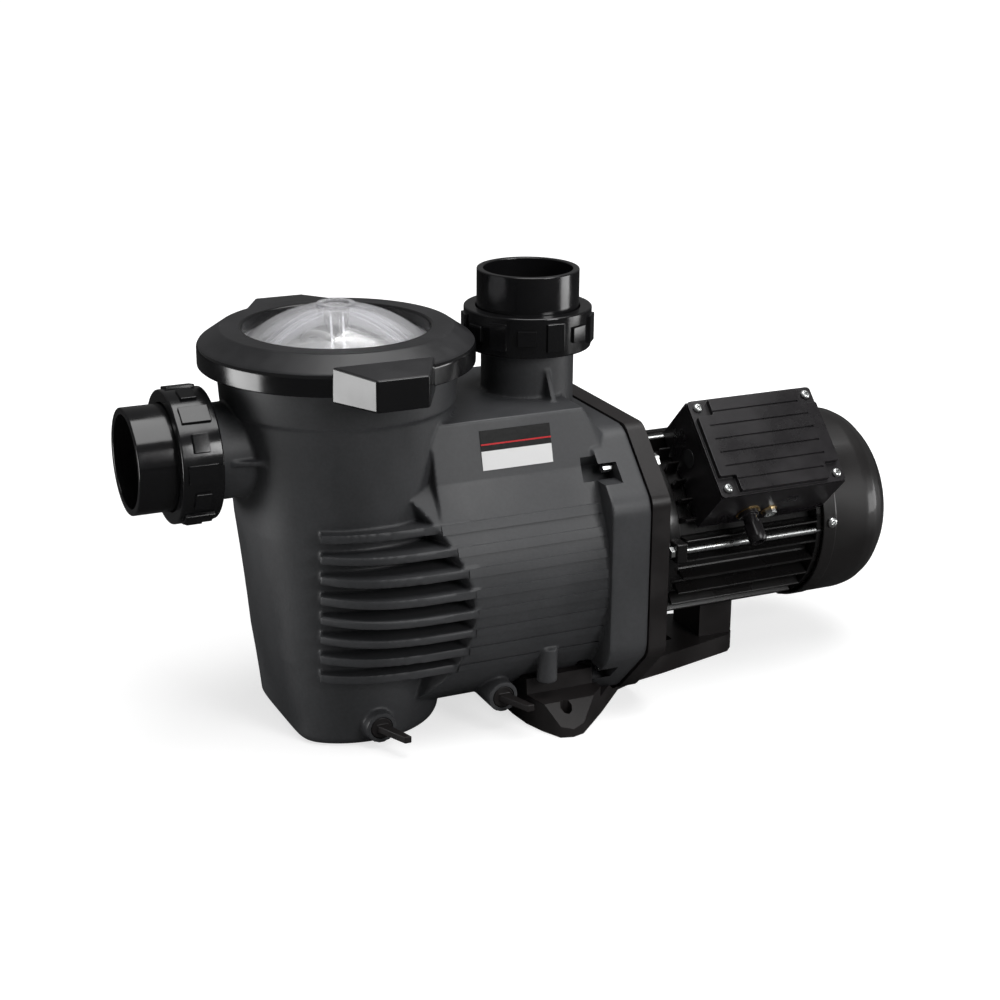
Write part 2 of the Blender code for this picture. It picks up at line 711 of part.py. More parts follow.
def lock_ring(finish_material):
    skirt_inner = LOCK_SKIRT_R - LOCK_SKIRT_WALL
    shoulder = RIM_TOP_Z + LENS_FLANGE_H + 2 * GAP
    outline = [(LOCK_OPENING_R, shoulder), (skirt_inner, shoulder), (skirt_inner, LOCK_SKIRT_BOTTOM_Z),
               (LOCK_SKIRT_R, LOCK_SKIRT_BOTTOM_Z), (LOCK_SKIRT_R, LOCK_SKIRT_TOP_Z),
               (LOCK_TOP_R, LOCK_TOP_Z),
               (LOCK_OPENING_R, LOCK_TOP_Z)]
    ring = turned(outline, name="lock_ring")
    for side in (-1, 1):
        root = side * (skirt_inner + 2)
        lobe = plate([[(-LOBE_ROOT_HALF, root), (-LOBE_TIP_HALF, side * LOBE_TIP_R),
                       (LOBE_TIP_HALF, side * LOBE_TIP_R), (LOBE_ROOT_HALF, root)]],
                     LOBE_TOP_Z - LOBE_BOTTOM_Z, (0, 0, LOBE_BOTTOM_Z), name="lobe")
        clear = rod(skirt_inner + 1.5, LOBE_TOP_Z - LOBE_BOTTOM_Z + 4, (0, 0, LOBE_BOTTOM_Z - 2), UP_AXIS,
                    ROUND)
        cut(lobe, clear)
        join(ring, lobe)
    return finish(ring, "lock_ring", finish_material)


def basket_outline():
    """The basket's wall and rim; its floor closes the foot."""
    rim_low = LEDGE_Z + GAP
    rim_high = rim_low + BASKET_RIM_H
    rim_r = RIM_BORE_R - 2 * GAP - 0.4
    return [(0, BASKET_FOOT_Z), (BASKET_FOOT_R, BASKET_FOOT_Z), (BASKET_TOP_R, rim_low), (rim_r, rim_low),
            (rim_r, rim_high), (BASKET_TOP_R - BASKET_WALL, rim_high),
            (BASKET_FOOT_R - BASKET_WALL, BASKET_FOOT_Z + BASKET_WALL), (0, BASKET_FOOT_Z + BASKET_WALL)]


def strainer_basket(finish_material):
    basket = turned(basket_outline(), sides=MEDIUM, name="basket")
    low = BASKET_FOOT_Z + 14
    high = SUCTION_Z - PORT_BORE_R - 10
    for number in range(BASKET_SLOT_PAIRS):
        angle = 180.0 * (number + 0.5) / BASKET_SLOT_PAIRS
        reach = BASKET_TOP_R + 4
        cut(basket, block((-reach, -BASKET_SLOT_W / 2, low), (reach, BASKET_SLOT_W / 2, high),
                          turn=(0, 0, angle)))
    cut(basket, rod(PORT_BORE_R - 2, BASKET_TOP_R + 10, (0, 0, SUCTION_Z), SUCTION_TURN, MEDIUM,
                    "basket_inlet"))
    rim_high = LEDGE_Z + GAP + BASKET_RIM_H
    span = BASKET_TOP_R + 4
    arch = []
    for step in range(9):
        angle = math.pi * step / 8
        arch.append((0.0, span * math.cos(angle), rim_high - 2.5 + BASKET_HANDLE_RISE * math.sin(angle)))
    join(basket, tube(arch, BASKET_HANDLE_R, "handle"))
    return finish(basket, "strainer_basket", finish_material)


def union_set(port, at, turn, plastic, rubber):
    """The nut, the tail and the sealing ring of one port."""
    bore = TAIL_R + NUT_BORE_CLEARANCE
    inner = THREAD_R + NUT_BORE_CLEARANCE
    lip = NUT_LENGTH - NUT_LIP
    nut = turned([(inner, 0), (NUT_R, 0), (NUT_R, NUT_LENGTH), (bore, NUT_LENGTH), (bore, lip),
                  (inner, lip)], at, turn)
    start = THREAD_END + GAP
    step = start + TAIL_FLANGE_H
    tail = turned([(PORT_BORE_R, start), (THREAD_R, start), (THREAD_R, step), (TAIL_R, step),
                   (TAIL_R, TAIL_LENGTH),
                   (TAIL_SOCKET_R, TAIL_LENGTH), (TAIL_SOCKET_R, step + 2), (PORT_BORE_R, step + 2)], at,
                   turn)
    axis = Matrix.Rotation(math.radians(turn[1]), 3, "Y") @ Vector((0, 0, 1))
    ring_at = Vector(at) + axis * (THREAD_END - UNION_RING_TUBE_R)
    ring = torus(UNION_RING_R, UNION_RING_TUBE_R, ring_at, turn, ROUND, 6)
    finish(nut, f"{port}_union_nut", plastic)
    finish(tail, f"{port}_union_tail", plastic)
    finish(ring, f"{port}_o_ring", rubber)


def drain_plug(name, at, plastic, rubber):
    """A plug with a tongue handle, and its ring, in one of the drain bosses."""
    head_depth = DRAIN_MOUTH_DEPTH - 2 * DRAIN_RING_TUBE_R - 2 * GAP
    head_r = DRAIN_MOUTH_R - GAP
    outline = [(0, -head_depth - DRAIN_SHANK_LENGTH), (DRAIN_SHANK_R, -head_depth - DRAIN_SHANK_LENGTH),
               (DRAIN_SHANK_R, -head_depth), (head_r, -head_depth), (head_r, 0), (0, 0)]
    plug = turned(outline, at, NEAR_AXIS, MEDIUM)
    half = DRAIN_HANDLE_THICKNESS / 2
    tongue = plate([[(-4, 1), (DRAIN_HANDLE_SIDE - 3, -DRAIN_HANDLE_REACH),
                     (DRAIN_HANDLE_SIDE + 2, -DRAIN_HANDLE_REACH),
                     (4, 1)]], DRAIN_HANDLE_THICKNESS, (at[0], at[1], at[2] - half), name="tongue")
    join(plug, tongue)
    ring_r = DRAIN_SHANK_R + GAP + DRAIN_RING_TUBE_R
    ring_at = (at[0], at[1] + DRAIN_MOUTH_DEPTH - DRAIN_RING_TUBE_R - GAP, at[2])
    finish(plug, f"{name}_drain_plug", plastic)
    finish(torus(ring_r, DRAIN_RING_TUBE_R, ring_at, NEAR_AXIS, MEDIUM, 6), f"{name}_drain_o_ring", rubber)


# ---------------------------------------------------------------- wet end


def seal_plate(finish_material):
    front = FLANGE_REAR_X + GAP
    rear = front + PLATE_THICKNESS
    made = plate([flange_outline(1.0)], PLATE_THICKNESS, (front, 0, MOTOR_Z), CROSS_SECTION, "seal_plate")
    wall = SEAL_HUB_FRONT_X + SEAL_HUB_WALL
    seat_hole = SEAT_R + GAP
    shaft_hole = SHAFT_R + 2.5
    hub = turned([(shaft_hole, wall + 4), (seat_hole, wall + 4), (seat_hole, SEAL_HUB_FRONT_X),
                  (SEAL_HUB_R, SEAL_HUB_FRONT_X), (SEAL_HUB_R, rear - 2), (shaft_hole, rear - 2)],
                 (0, 0, MOTOR_Z), X_AXIS, ROUND, "seal_hub")
    hollow = turned(ring_outline(SEAT_R + 8, SEAL_HUB_R - SEAL_HUB_WALL, wall, rear + 2), (0, 0, MOTOR_Z),
                    X_AXIS,
                    ROUND, "seal_hub_hollow")
    shaft_bore = rod(shaft_hole, PLATE_THICKNESS + 8, (front - 4, 0, MOTOR_Z), X_AXIS, MEDIUM, "shaft_bore")
    join(made, hub)
    cut(made, shaft_bore, hollow)
    for y, z in bolt_places():
        cut(made, bore(BOLT_R, PLATE_THICKNESS + 8, (front - 4, y, z), X_AXIS, SMALL, "plate_hole"))
    for side in (-1, 1):
        low = MOTOR_Z - FLANGE_HALF_Z - 3
        cut(made, bore(BASE_SCREW_R, 20, (BASE_SCREW_X, side * BASE_SCREW_Y, low), UP_AXIS, SMALL,
                       "foot_hole"))
    return finish(made, "seal_plate", finish_material)


def casing_o_ring(finish_material):
    at = (FLANGE_REAR_X - CASING_RING_TUBE_R, 0, MOTOR_Z)
    return finish(torus(CASING_RING_R, CASING_RING_TUBE_R, at, X_AXIS, ROUND, 6), "casing_o_ring",
                  finish_material)


def hex_bolt(name, head_r, head_h, shank_r, length, at, turn, finish_material):
    """A bolt whose head stands on at and whose shank runs back from it."""
    bolt = rod(head_r, head_h, at, turn, 6, name)
    join(bolt, turned([(0, -length), (shank_r, -length), (shank_r, head_h / 2), (0, head_h / 2)], at, turn,
                      SMALL))
    return finish(bolt, name, finish_material)


def casing_bolts(finish_material):
    rear = FLANGE_REAR_X + GAP + PLATE_THICKNESS + GAP
    tip = FLANGE_FRONT_X + 6
    for number, (y, z) in enumerate(bolt_places(), 1):
        hex_bolt(f"casing_bolt_{number}", BOLT_HEAD_R, BOLT_HEAD_H, BOLT_R, rear - tip, (rear, y, z),
                 X_AXIS,
                 finish_material)


def diffuser(finish_material):
    skirt = SEAL_HUB_R + GAP
    rear = SEAL_HUB_FRONT_X + 10
    nose = EYE_R - 1.0
    bore = IMPELLER_EYE_R + 2
    outline = [(bore, DIFFUSER_NOSE_X), (nose, DIFFUSER_NOSE_X), (nose, DIFFUSER_FRONT_X),
               (skirt + DIFFUSER_WALL, DIFFUSER_FRONT_X), (skirt + DIFFUSER_WALL, rear), (skirt, rear),
               (skirt, DIFFUSER_FRONT_X + DIFFUSER_WALL), (bore, DIFFUSER_FRONT_X + DIFFUSER_WALL)]
    made = turned(outline, (0, 0, MOTOR_Z), X_AXIS, ROUND, "diffuser")
    for number in range(3):
        window = block((-90, -15, 0), (90, 15, IMPELLER_WIDTH + 8), (IMPELLER_FRONT_X, 0, MOTOR_Z), X_AXIS,
                       "window")
        window.rotation_euler = (Matrix.Rotation(math.radians(60.0 * number + 30.0), 3, "X")
                                 @ Matrix.Rotation(math.radians(90.0), 3, "Y")).to_euler()
        cut(made, window)
    return finish(made, "diffuser", finish_material)


def impeller(finish_material, parent):
    front = IMPELLER_FRONT_X
    rear = front + IMPELLER_WIDTH
    bore = SHAFT_R + GAP
    hub = [(bore, front + 2), (HUB_R, front + 2), (HUB_R, rear - SHROUD), (IMPELLER_R, rear - SHROUD),
           (IMPELLER_R, rear), (HUB_R, rear), (HUB_R, rear + 5), (bore, rear + 5)]
    made = turned(hub, (0, 0, MOTOR_Z), X_AXIS, MEDIUM, "impeller")
    cover = turned([(IMPELLER_EYE_R, front - 8), (IMPELLER_EYE_R + 1.6, front - 8),
                    (IMPELLER_EYE_R + 1.6, front),
                    (IMPELLER_R, front), (IMPELLER_R, front + SHROUD), (IMPELLER_EYE_R, front + SHROUD)],
                   (0, 0, MOTOR_Z), X_AXIS, MEDIUM, "front_shroud")
    join(made, cover)
    for number in range(VANE_COUNT):
        vane = block((HUB_R - 2, -1.5, 1), (IMPELLER_R - 2, 1.5, IMPELLER_WIDTH - 1))
        slant = Matrix.Rotation(math.radians(-38.0), 4, "Z")
        shift = Matrix.Translation(Vector((4, 14, 0)) * MM)
        spin = Matrix.Rotation(math.tau * number / VANE_COUNT + 0.1, 4, "Z")
        axis = Matrix.Translation(Vector((front, 0, MOTOR_Z)) * MM) @ Matrix.Rotation(math.radians(90.0), 4,
                                                                                      "Y")
        vane.matrix_world = axis @ spin @ shift @ slant
        inner = rod(bore + 1.0, IMPELLER_WIDTH, (front, 0, MOTOR_Z), X_AXIS, MEDIUM)
        cut(vane, inner)
        join(made, vane)
    return finish(made, "impeller", finish_material, parent)


def shaft_seal(carbon, ceramic, parent):
    head_start = IMPELLER_FRONT_X + IMPELLER_WIDTH + 5 + GAP
    head = turned(ring_outline(SHAFT_R + GAP, SEAL_HEAD_R, head_start, SEAL_HUB_FRONT_X - GAP),
                  (0, 0, MOTOR_Z), X_AXIS, MEDIUM)
    seat = turned(ring_outline(SEAT_BORE_R, SEAT_R, SEAL_HUB_FRONT_X, SEAL_HUB_FRONT_X + SEAT_LENGTH),
                  (0, 0, MOTOR_Z), X_AXIS, MEDIUM)
    finish(head, "seal_head", carbon, parent)
    finish(seat, "seal_seat", ceramic)


# ---------------------------------------------------------------- motor


def around_shaft(radius, angle):
    """A point at a radius round the motor's axis: 0 is the near side and 90 is up."""
    turn = math.radians(angle)
    return -radius * math.cos(turn), MOTOR_Z + radius * math.sin(turn)


def shaft(finish_material, parent):
    r = SHAFT_R
    outline = [(0, SHAFT_FRONT_X), (r, SHAFT_FRONT_X), (r, FRONT_BEARING_X - 4),
               (r + 0.6, FRONT_BEARING_X - 4),
               (r + 0.6, REAR_BEARING_X + BEARING_WIDTH + 4), (r - 1, REAR_BEARING_X + BEARING_WIDTH + 4),
               (r - 1, SHAFT_REAR_X), (0, SHAFT_REAR_X)]
    return finish(turned(outline, (0, 0, MOTOR_Z), X_AXIS, MEDIUM), "motor_shaft", finish_material, parent)


def x_ring(name, inner, outer, start, end, finish_material, parent=None, sides=MEDIUM):
    made = turned(ring_outline(inner, outer, start, end), (0, 0, MOTOR_Z), X_AXIS, sides)
    return finish(made, name, finish_material, parent)


def end_shield(name, outline, lug_start, lug_end, finish_material):
    """A turned end shield with four lugs that the tie rods pass through."""
    made = turned(outline, (0, 0, MOTOR_Z), X_AXIS, ROUND, name)
    half = SHIELD_LUG_W / 2
    inner = CORE_R + 1.0
    for angle in (0, 90, 180, 270):
        lug = block((lug_start, -SHIELD_LUG_R, -half), (lug_end, -inner, half), (0, 0, MOTOR_Z),
                    (-angle, 0, 0), "lug")
        join(made, lug)
    for angle in (0, 90, 180, 270):
        y, z = around_shaft(TIE_ROD_OFFSET, angle)
        cut(made, bore(TIE_ROD_R, lug_end - lug_start + 4, (lug_start - 2, y, z), X_AXIS, SMALL,
                       "rod_hole"))
    return finish(made, name, finish_material)


def front_shield(finish_material):
    start = FLANGE_REAR_X + PLATE_THICKNESS + 2 * GAP
    end = HOUSING_START_X - GAP
    pocket = BEARING_R + GAP
    outline = [(SHAFT_R + 2.5, start), (48, start), (50, start + 8), (56, start + 14), (61, end - 8),
               (61, end),
               (CORE_R - 2, end), (CORE_R - 6, start + 16), (pocket + 5, start + 12),
               (pocket + 5, FRONT_BEARING_X + 10),
               (pocket, FRONT_BEARING_X + 10), (pocket, FRONT_BEARING_X), (SHAFT_R + 2.5, FRONT_BEARING_X)]
    return end_shield("front_end_shield", outline, end - 9, end, finish_material)


def rear_shield(finish_material):
    start = HOUSING_END_X + GAP
    pocket = BEARING_R + GAP
    outline = [(CORE_R - 2, start), (REAR_SHIELD_R, start), (REAR_SHIELD_R, start + 18),
               (pocket + 6, start + 20),
               (pocket, start + 20), (pocket, REAR_BEARING_X), (pocket + 5, REAR_BEARING_X),
               (pocket + 5, start + 14),
               (CORE_R - 2, start + 12)]
    made = turned(outline, (0, 0, MOTOR_Z), X_AXIS, ROUND, "rear_end_shield")
    for angle in (0, 90, 180, 270):
        y, z = around_shaft(TIE_ROD_OFFSET, angle)
        cut(made, bore(TIE_ROD_R, 10, (start - 2, y, z), X_AXIS, SMALL, "rod_end"))
        hole = bore(LID_SCREW_R, 10, (COVER_SCREW_X, 0, MOTOR_Z), UP_AXIS, SMALL, "screw_hole")
        aim(hole, angle + COVER_SCREW_TURN, COVER_R - 9)
        cut(made, hole)
    return finish(made, "rear_end_shield", finish_material)


def aim(item, angle, radius):
    """Turns a piece to point away from the motor's axis, its foot at a radius."""
    y, z = around_shaft(radius, angle)
    item.rotation_euler = (math.radians(90.0 - angle), 0, 0)
    item.location = (item.location.x, y * MM, z * MM)


def box_frame_turn():
    """Euler turn of the tilted box's own frame: x along the motor, y across (u), z outward (n)."""
    return (BOX_TILT, 0, 0)


def motor_housing(finish_material):
    outline = []
    pitch = 360.0 / FIN_COUNT
    for number in range(FIN_COUNT):
        angle = (number + 0.5) * pitch
        foot = math.degrees(FIN_THICKNESS / 2 / HOUSING_R)
        tip = math.degrees(FIN_THICKNESS / 2 / FIN_R)
        for radius, turn in ((HOUSING_R, angle - foot), (FIN_R, angle - tip), (FIN_R, angle + tip),
                             (HOUSING_R, angle + foot)):
            y, z = around_shaft(radius, turn)
            outline.append((y, z - MOTOR_Z))
    length = HOUSING_END_X - HOUSING_START_X
    housing = plate([outline, circle(CORE_R + GAP, ROUND)], length, (HOUSING_START_X, 0, MOTOR_Z),
                    CROSS_SECTION,
                    "motor_housing")
    clear = block((BOX_START_X - 2, BOX_LOW_U - 2, BOX_BOTTOM_N - GAP), (BOX_END_X + 2, BOX_HIGH_U + 2, 90),
                  (0, 0, MOTOR_Z), box_frame_turn(), "box_space")
    cut(housing, clear)
    return finish(housing, "motor_housing", finish_material)


def tie_rods(finish_material):
    start = HOUSING_START_X - GAP - 9 - GAP
    for number, angle in enumerate((0, 90, 180, 270), 1):
        y, z = around_shaft(TIE_ROD_OFFSET, angle)
        length = HOUSING_END_X + GAP + 7 - start
        made = rod(TIE_ROD_HEAD_R, TIE_ROD_HEAD_H, (start - TIE_ROD_HEAD_H, y, z), X_AXIS, 6)
        join(made, turned([(0, -1), (TIE_ROD_R, -1), (TIE_ROD_R, length), (0, length)], (start, y, z),
                          X_AXIS, SMALL))
        finish(made, f"tie_rod_{number}", finish_material)


def stator(steel, copper):
    x_ring("stator_core", CORE_BORE_R + GAP, CORE_R, CORE_START_X, CORE_END_X, steel, sides=ROUND)
    outline = [(WINDING_R, CORE_START_X - WINDING_OVERHANG),
               (WINDING_END_R, CORE_START_X - WINDING_OVERHANG),
               (WINDING_END_R, CORE_START_X - GAP), (CORE_BORE_R, CORE_START_X - GAP),
               (CORE_BORE_R, CORE_END_X + GAP),
               (WINDING_END_R, CORE_END_X + GAP), (WINDING_END_R, CORE_END_X + WINDING_OVERHANG),
               (WINDING_R, CORE_END_X + WINDING_OVERHANG)]
    finish(turned(outline, (0, 0, MOTOR_Z), X_AXIS, ROUND), "stator_winding", copper)


def cooling_fan(finish_material, parent):
    bore = SHAFT_R - 1 + GAP
    made = turned(ring_outline(bore, 14, FAN_X - 2, FAN_X + FAN_BLADE_DEPTH), (0, 0, MOTOR_Z), X_AXIS,
                  MEDIUM, "fan")
    disc = turned(ring_outline(12, FAN_R, FAN_X, FAN_X + 2), (0, 0, MOTOR_Z), X_AXIS, MEDIUM)
    join(made, disc)
    for number in range(FAN_BLADES):
        angle = 360.0 * number / FAN_BLADES + 11.0
        blade = block((FAN_X + 1, -FAN_R + 3, -1), (FAN_X + FAN_BLADE_DEPTH - 2, -11, 1), (0, 0, MOTOR_Z),
                      (-angle, 0, 0), "blade")
        join(made, blade)
    return finish(made, "cooling_fan", finish_material, parent)


def fan_cover(finish_material):
    outer = [(COVER_R, COVER_FRONT_X), (COVER_R, COVER_END_X - 28), (COVER_R - 3, COVER_END_X - 19),
             (COVER_R - 11.5, COVER_END_X - 9), (COVER_END_R + 8, COVER_END_X - 2.5),
             (COVER_END_R, COVER_END_X)]
    inner = [(r - COVER_WALL * 0.9, x - (COVER_WALL if x > COVER_END_X - 20 else 0)) for r,
             x in reversed(outer)]
    outline = outer + [(12, COVER_END_X), (12, COVER_END_X - COVER_WALL)] + inner
    made = turned(outline, (0, 0, MOTOR_Z), X_AXIS, ROUND, "fan_cover")
    for number in range(COVER_SLOTS // 2):
        angle = 180.0 * number / (COVER_SLOTS / 2)
        for side in (-1, 1):
            low, high = sorted((side * 18.0, side * (COVER_END_R - 1)))
            cut(made, block((COVER_END_X - 6, low, -4), (COVER_END_X + 4, high, 4), (0, 0, MOTOR_Z),
                            (angle, 0, 0)))
    for angle in (0, 90, 180, 270):
        hole = bore(LID_SCREW_R, 8, (COVER_SCREW_X, 0, MOTOR_Z), UP_AXIS, SMALL, "cover_hole")
        aim(hole, angle + COVER_SCREW_TURN, COVER_R - 5)
        cut(made, hole)
    return finish(made, "fan_cover", finish_material)


def cover_screws(finish_material):
    for number, angle in enumerate((0, 90, 180, 270), 1):
        made = turned([(0, -7), (LID_SCREW_R, -7), (LID_SCREW_R, GAP), (COVER_SCREW_R, GAP),
                       (COVER_SCREW_R, 1.6),
                       (COVER_SCREW_R - 1.4, 2.4), (0, 2.4)], (COVER_SCREW_X, 0, MOTOR_Z), UP_AXIS, SMALL)
        aim(made, angle + COVER_SCREW_TURN, COVER_R)
        finish(made, f"cover_screw_{number}", finish_material)


# ---------------------------------------------------------------- terminal box


def box_piece(low, high, name="box_piece"):
    return block(low, high, (0, 0, MOTOR_Z), box_frame_turn(), name)


def box_at(x, u, n):
    """World place, in millimetres, of a point in the tilted box's frame."""
    tilt = Matrix.Rotation(math.radians(BOX_TILT), 3, "X")
    return tilt @ Vector((x, u, n)) + Vector((0, 0, MOTOR_Z))


def lid_screw_places():
    xs = (BOX_START_X + LID_SCREW_INSET, BOX_END_X - LID_SCREW_INSET)
    us = (BOX_LOW_U + LID_SCREW_INSET, BOX_HIGH_U - LID_SCREW_INSET)
    return [(x, u) for x in xs for u in us]


def terminal_box(finish_material):
    made = box_piece((BOX_START_X, BOX_LOW_U, BOX_BOTTOM_N), (BOX_END_X, BOX_HIGH_U, BOX_TOP_N),
                     "terminal_box")
    hollow = box_piece((BOX_START_X + BOX_WALL, BOX_LOW_U + BOX_WALL, BOX_FLOOR_N),
                       (HOUSING_END_X - BOX_WALL, BOX_HIGH_U - BOX_WALL, BOX_TOP_N + 4), "box_hollow")
    for x, u in lid_screw_places():
        post = rod(LID_POST_R, BOX_TOP_N - BOX_FLOOR_N + 6, box_at(x, u, BOX_FLOOR_N - 2), box_frame_turn(),
                   SMALL)
        cut(hollow, post)
    saddle = rod(HOUSING_R + GAP + 0.5, BOX_END_X - BOX_START_X + 8, (BOX_START_X - 4, 0, MOTOR_Z), X_AXIS,
                 ROUND)
    shield = rod(REAR_SHIELD_R + GAP + 0.5, 20, (HOUSING_END_X, 0, MOTOR_Z), X_AXIS, ROUND)
    cut(made, hollow, saddle, shield)
    for x, u in lid_screw_places():
        hole = bore(LID_SCREW_R, LID_SCREW_LENGTH + 6, box_at(x, u, BOX_TOP_N - LID_SCREW_LENGTH - 1),
                   box_frame_turn(), SMALL)
        cut(made, hole)
    wires = rod(8.0, 12, box_at(318, 4, BOX_FLOOR_N - 10), box_frame_turn(), SMALL, "wire_hole")
    gland = bore(GLAND_THREAD_R, 12, box_at(GLAND_X, BOX_LOW_U - 3, GLAND_N + 6), (BOX_TILT - 90, 0, 0),
                 SMALL)
    ground = bore(LID_SCREW_R, BOX_WALL + 4, box_at(GROUND_X, BOX_LOW_U - 3, GLAND_N + 5),
                  (BOX_TILT - 90, 0, 0),
                 SMALL)
    cut(made, wires, gland, ground)
    return finish(made, "terminal_box", finish_material)


def terminal_lid(finish_material):
    low = BOX_TOP_N + GAP
    made = box_piece((BOX_START_X, BOX_LOW_U, low), (BOX_END_X, BOX_HIGH_U, low + LID_FLANGE_H),
                     "terminal_lid")
    inset = 2.0
    x0, x1 = BOX_START_X + inset, BOX_END_X - inset
    u0, u1 = BOX_LOW_U + inset, BOX_HIGH_U - inset
    foot, top = low + 0.6, low + LID_FLANGE_H + LID_PLATE_H
    raised = box_piece((x0 + LID_NOTCH, u0, foot), (x1 - LID_NOTCH, u1, top), "raised")
    join(raised, box_piece((x0, u0 + LID_NOTCH, foot), (x1, u1 - LID_NOTCH, top)))
    join(made, raised)
    for x, u in lid_screw_places():
        cut(made, bore(LID_SCREW_R, 8, box_at(x, u, low - 3), box_frame_turn(), SMALL))
    return finish(made, "terminal_box_lid", finish_material)


def lid_screws(finish_material):
    seat = BOX_TOP_N + LID_FLANGE_H + 2 * GAP
    for number, (x, u) in enumerate(lid_screw_places(), 1):
        made = turned([(0, -LID_SCREW_LENGTH), (LID_SCREW_R, -LID_SCREW_LENGTH), (LID_SCREW_R, 0),
                       (LID_SCREW_HEAD_R, 0), (LID_SCREW_HEAD_R, 1.6), (LID_SCREW_HEAD_R - 1.2, 2.4),
                       (0, 2.4)],
                      box_at(x, u, seat), box_frame_turn(), SMALL)
        finish(made, f"lid_screw_{number}", finish_material)


def box_contents(plastic, metal):
    floor = BOX_FLOOR_N + GAP
    strip = box_piece((296, -22, floor), (336, -4, floor + 13), "terminal_block")
    for number in range(3):
        x = 300 + 12 * number
        cut(strip, box_piece((x, -18, floor + 8), (x + 8, -8, floor + 15)))
    finish(strip, "terminal_block", plastic)
    capacitor = turned([(0, 0), (14, 0), (14, 2), (14.6, 3), (14.6, 56), (0, 56)],
                       box_at(268, 22, floor + 14.8), X_AXIS, MEDIUM)
    finish(capacitor, "run_capacitor", metal)


def cable_gland(plastic):
    """The gland's body, screwed into the box's lower wall, and its clamping nut."""
    at = box_at(GLAND_X, BOX_LOW_U - GAP, GLAND_N + 6)
    turn = (BOX_TILT + 90, 0, 0)
    hole = 3.6
    body = turned([(hole, -8), (GLAND_THREAD_R, -8), (GLAND_THREAD_R, 0), (GLAND_NUT_R, 0),
                   (GLAND_NUT_R, 3),
                   (GLAND_THREAD_R, 3), (GLAND_THREAD_R, GLAND_STEM + 6), (hole, GLAND_STEM + 6)], at, turn,
                   SMALL)
    inner = GLAND_THREAD_R + GAP + 0.2
    nut = turned([(inner, GLAND_STEM - 4), (GLAND_NUT_R, GLAND_STEM - 4), (GLAND_NUT_R, GLAND_STEM + 7),
                  (GLAND_NUT_R - 2.2, GLAND_STEM + GLAND_NUT_LENGTH - 4),
                  (hole, GLAND_STEM + GLAND_NUT_LENGTH - 4),
                  (hole, GLAND_STEM + 6.3), (inner, GLAND_STEM + 6.3)], at, turn, SMALL)
    finish(body, "cable_gland", plastic)
    finish(nut, "cable_gland_nut", plastic)


def ground_screw(finish_material):
    at = box_at(GROUND_X, BOX_LOW_U - GAP, GLAND_N + 5)
    hex_bolt("ground_screw", GROUND_HEAD_R, 3.6, LID_SCREW_R, BOX_WALL + 6, at, (BOX_TILT + 90, 0, 0),
             finish_material)


# ---------------------------------------------------------------- base


def base_plan():
    """The base's outline on the ground: a rounded tab each side, tapering to the rear."""
    near = [(BASE_FRONT_X, -FOOT_INNER_Y), (BASE_FRONT_X + 2, -FOOT_BLOCK_Y),
            (BASE_FRONT_X + 7, -FOOT_LEDGE_Y + 1),
            (FOOT_TIP_X - 9, -FOOT_TIP_Y + 2.5), (FOOT_TIP_X, -FOOT_TIP_Y),
            (FOOT_TIP_X + 9, -FOOT_TIP_Y + 2.5),
            (FOOT_END_X + 12, -85), (FLANGE_REAR_X + 5, -55), (FLANGE_REAR_X + 25, -47),
            (BASE_REAR_X - 72, -42),
            (BASE_REAR_X - 6, -25), (BASE_REAR_X, -19)]
    far = [(x, -y) for x, y in reversed(near)]
    return near + far


def base_cross_section():
    """What is empty above the base: from the foot's tip up over its ledge and down between the feet."""
    near = [(-FOOT_TIP_Y - 10, 6), (-FOOT_TIP_Y, 6), (-FOOT_LEDGE_Y, FOOT_LEDGE_Z),
            (-FOOT_BLOCK_Y, FOOT_LEDGE_Z + 1.5),
            (-FOOT_BLOCK_Y + 1, FOOT_BLOCK_Z), (-FOOT_INNER_Y, FOOT_BLOCK_Z),
            (-FOOT_INNER_Y + 4, BASE_HEIGHT)]
    far = [(-y, z) for y, z in reversed(near)]
    return near + far + [(FOOT_TIP_Y + 10, FOOT_BLOCK_Z + 10), (-FOOT_TIP_Y - 10, FOOT_BLOCK_Z + 10)]


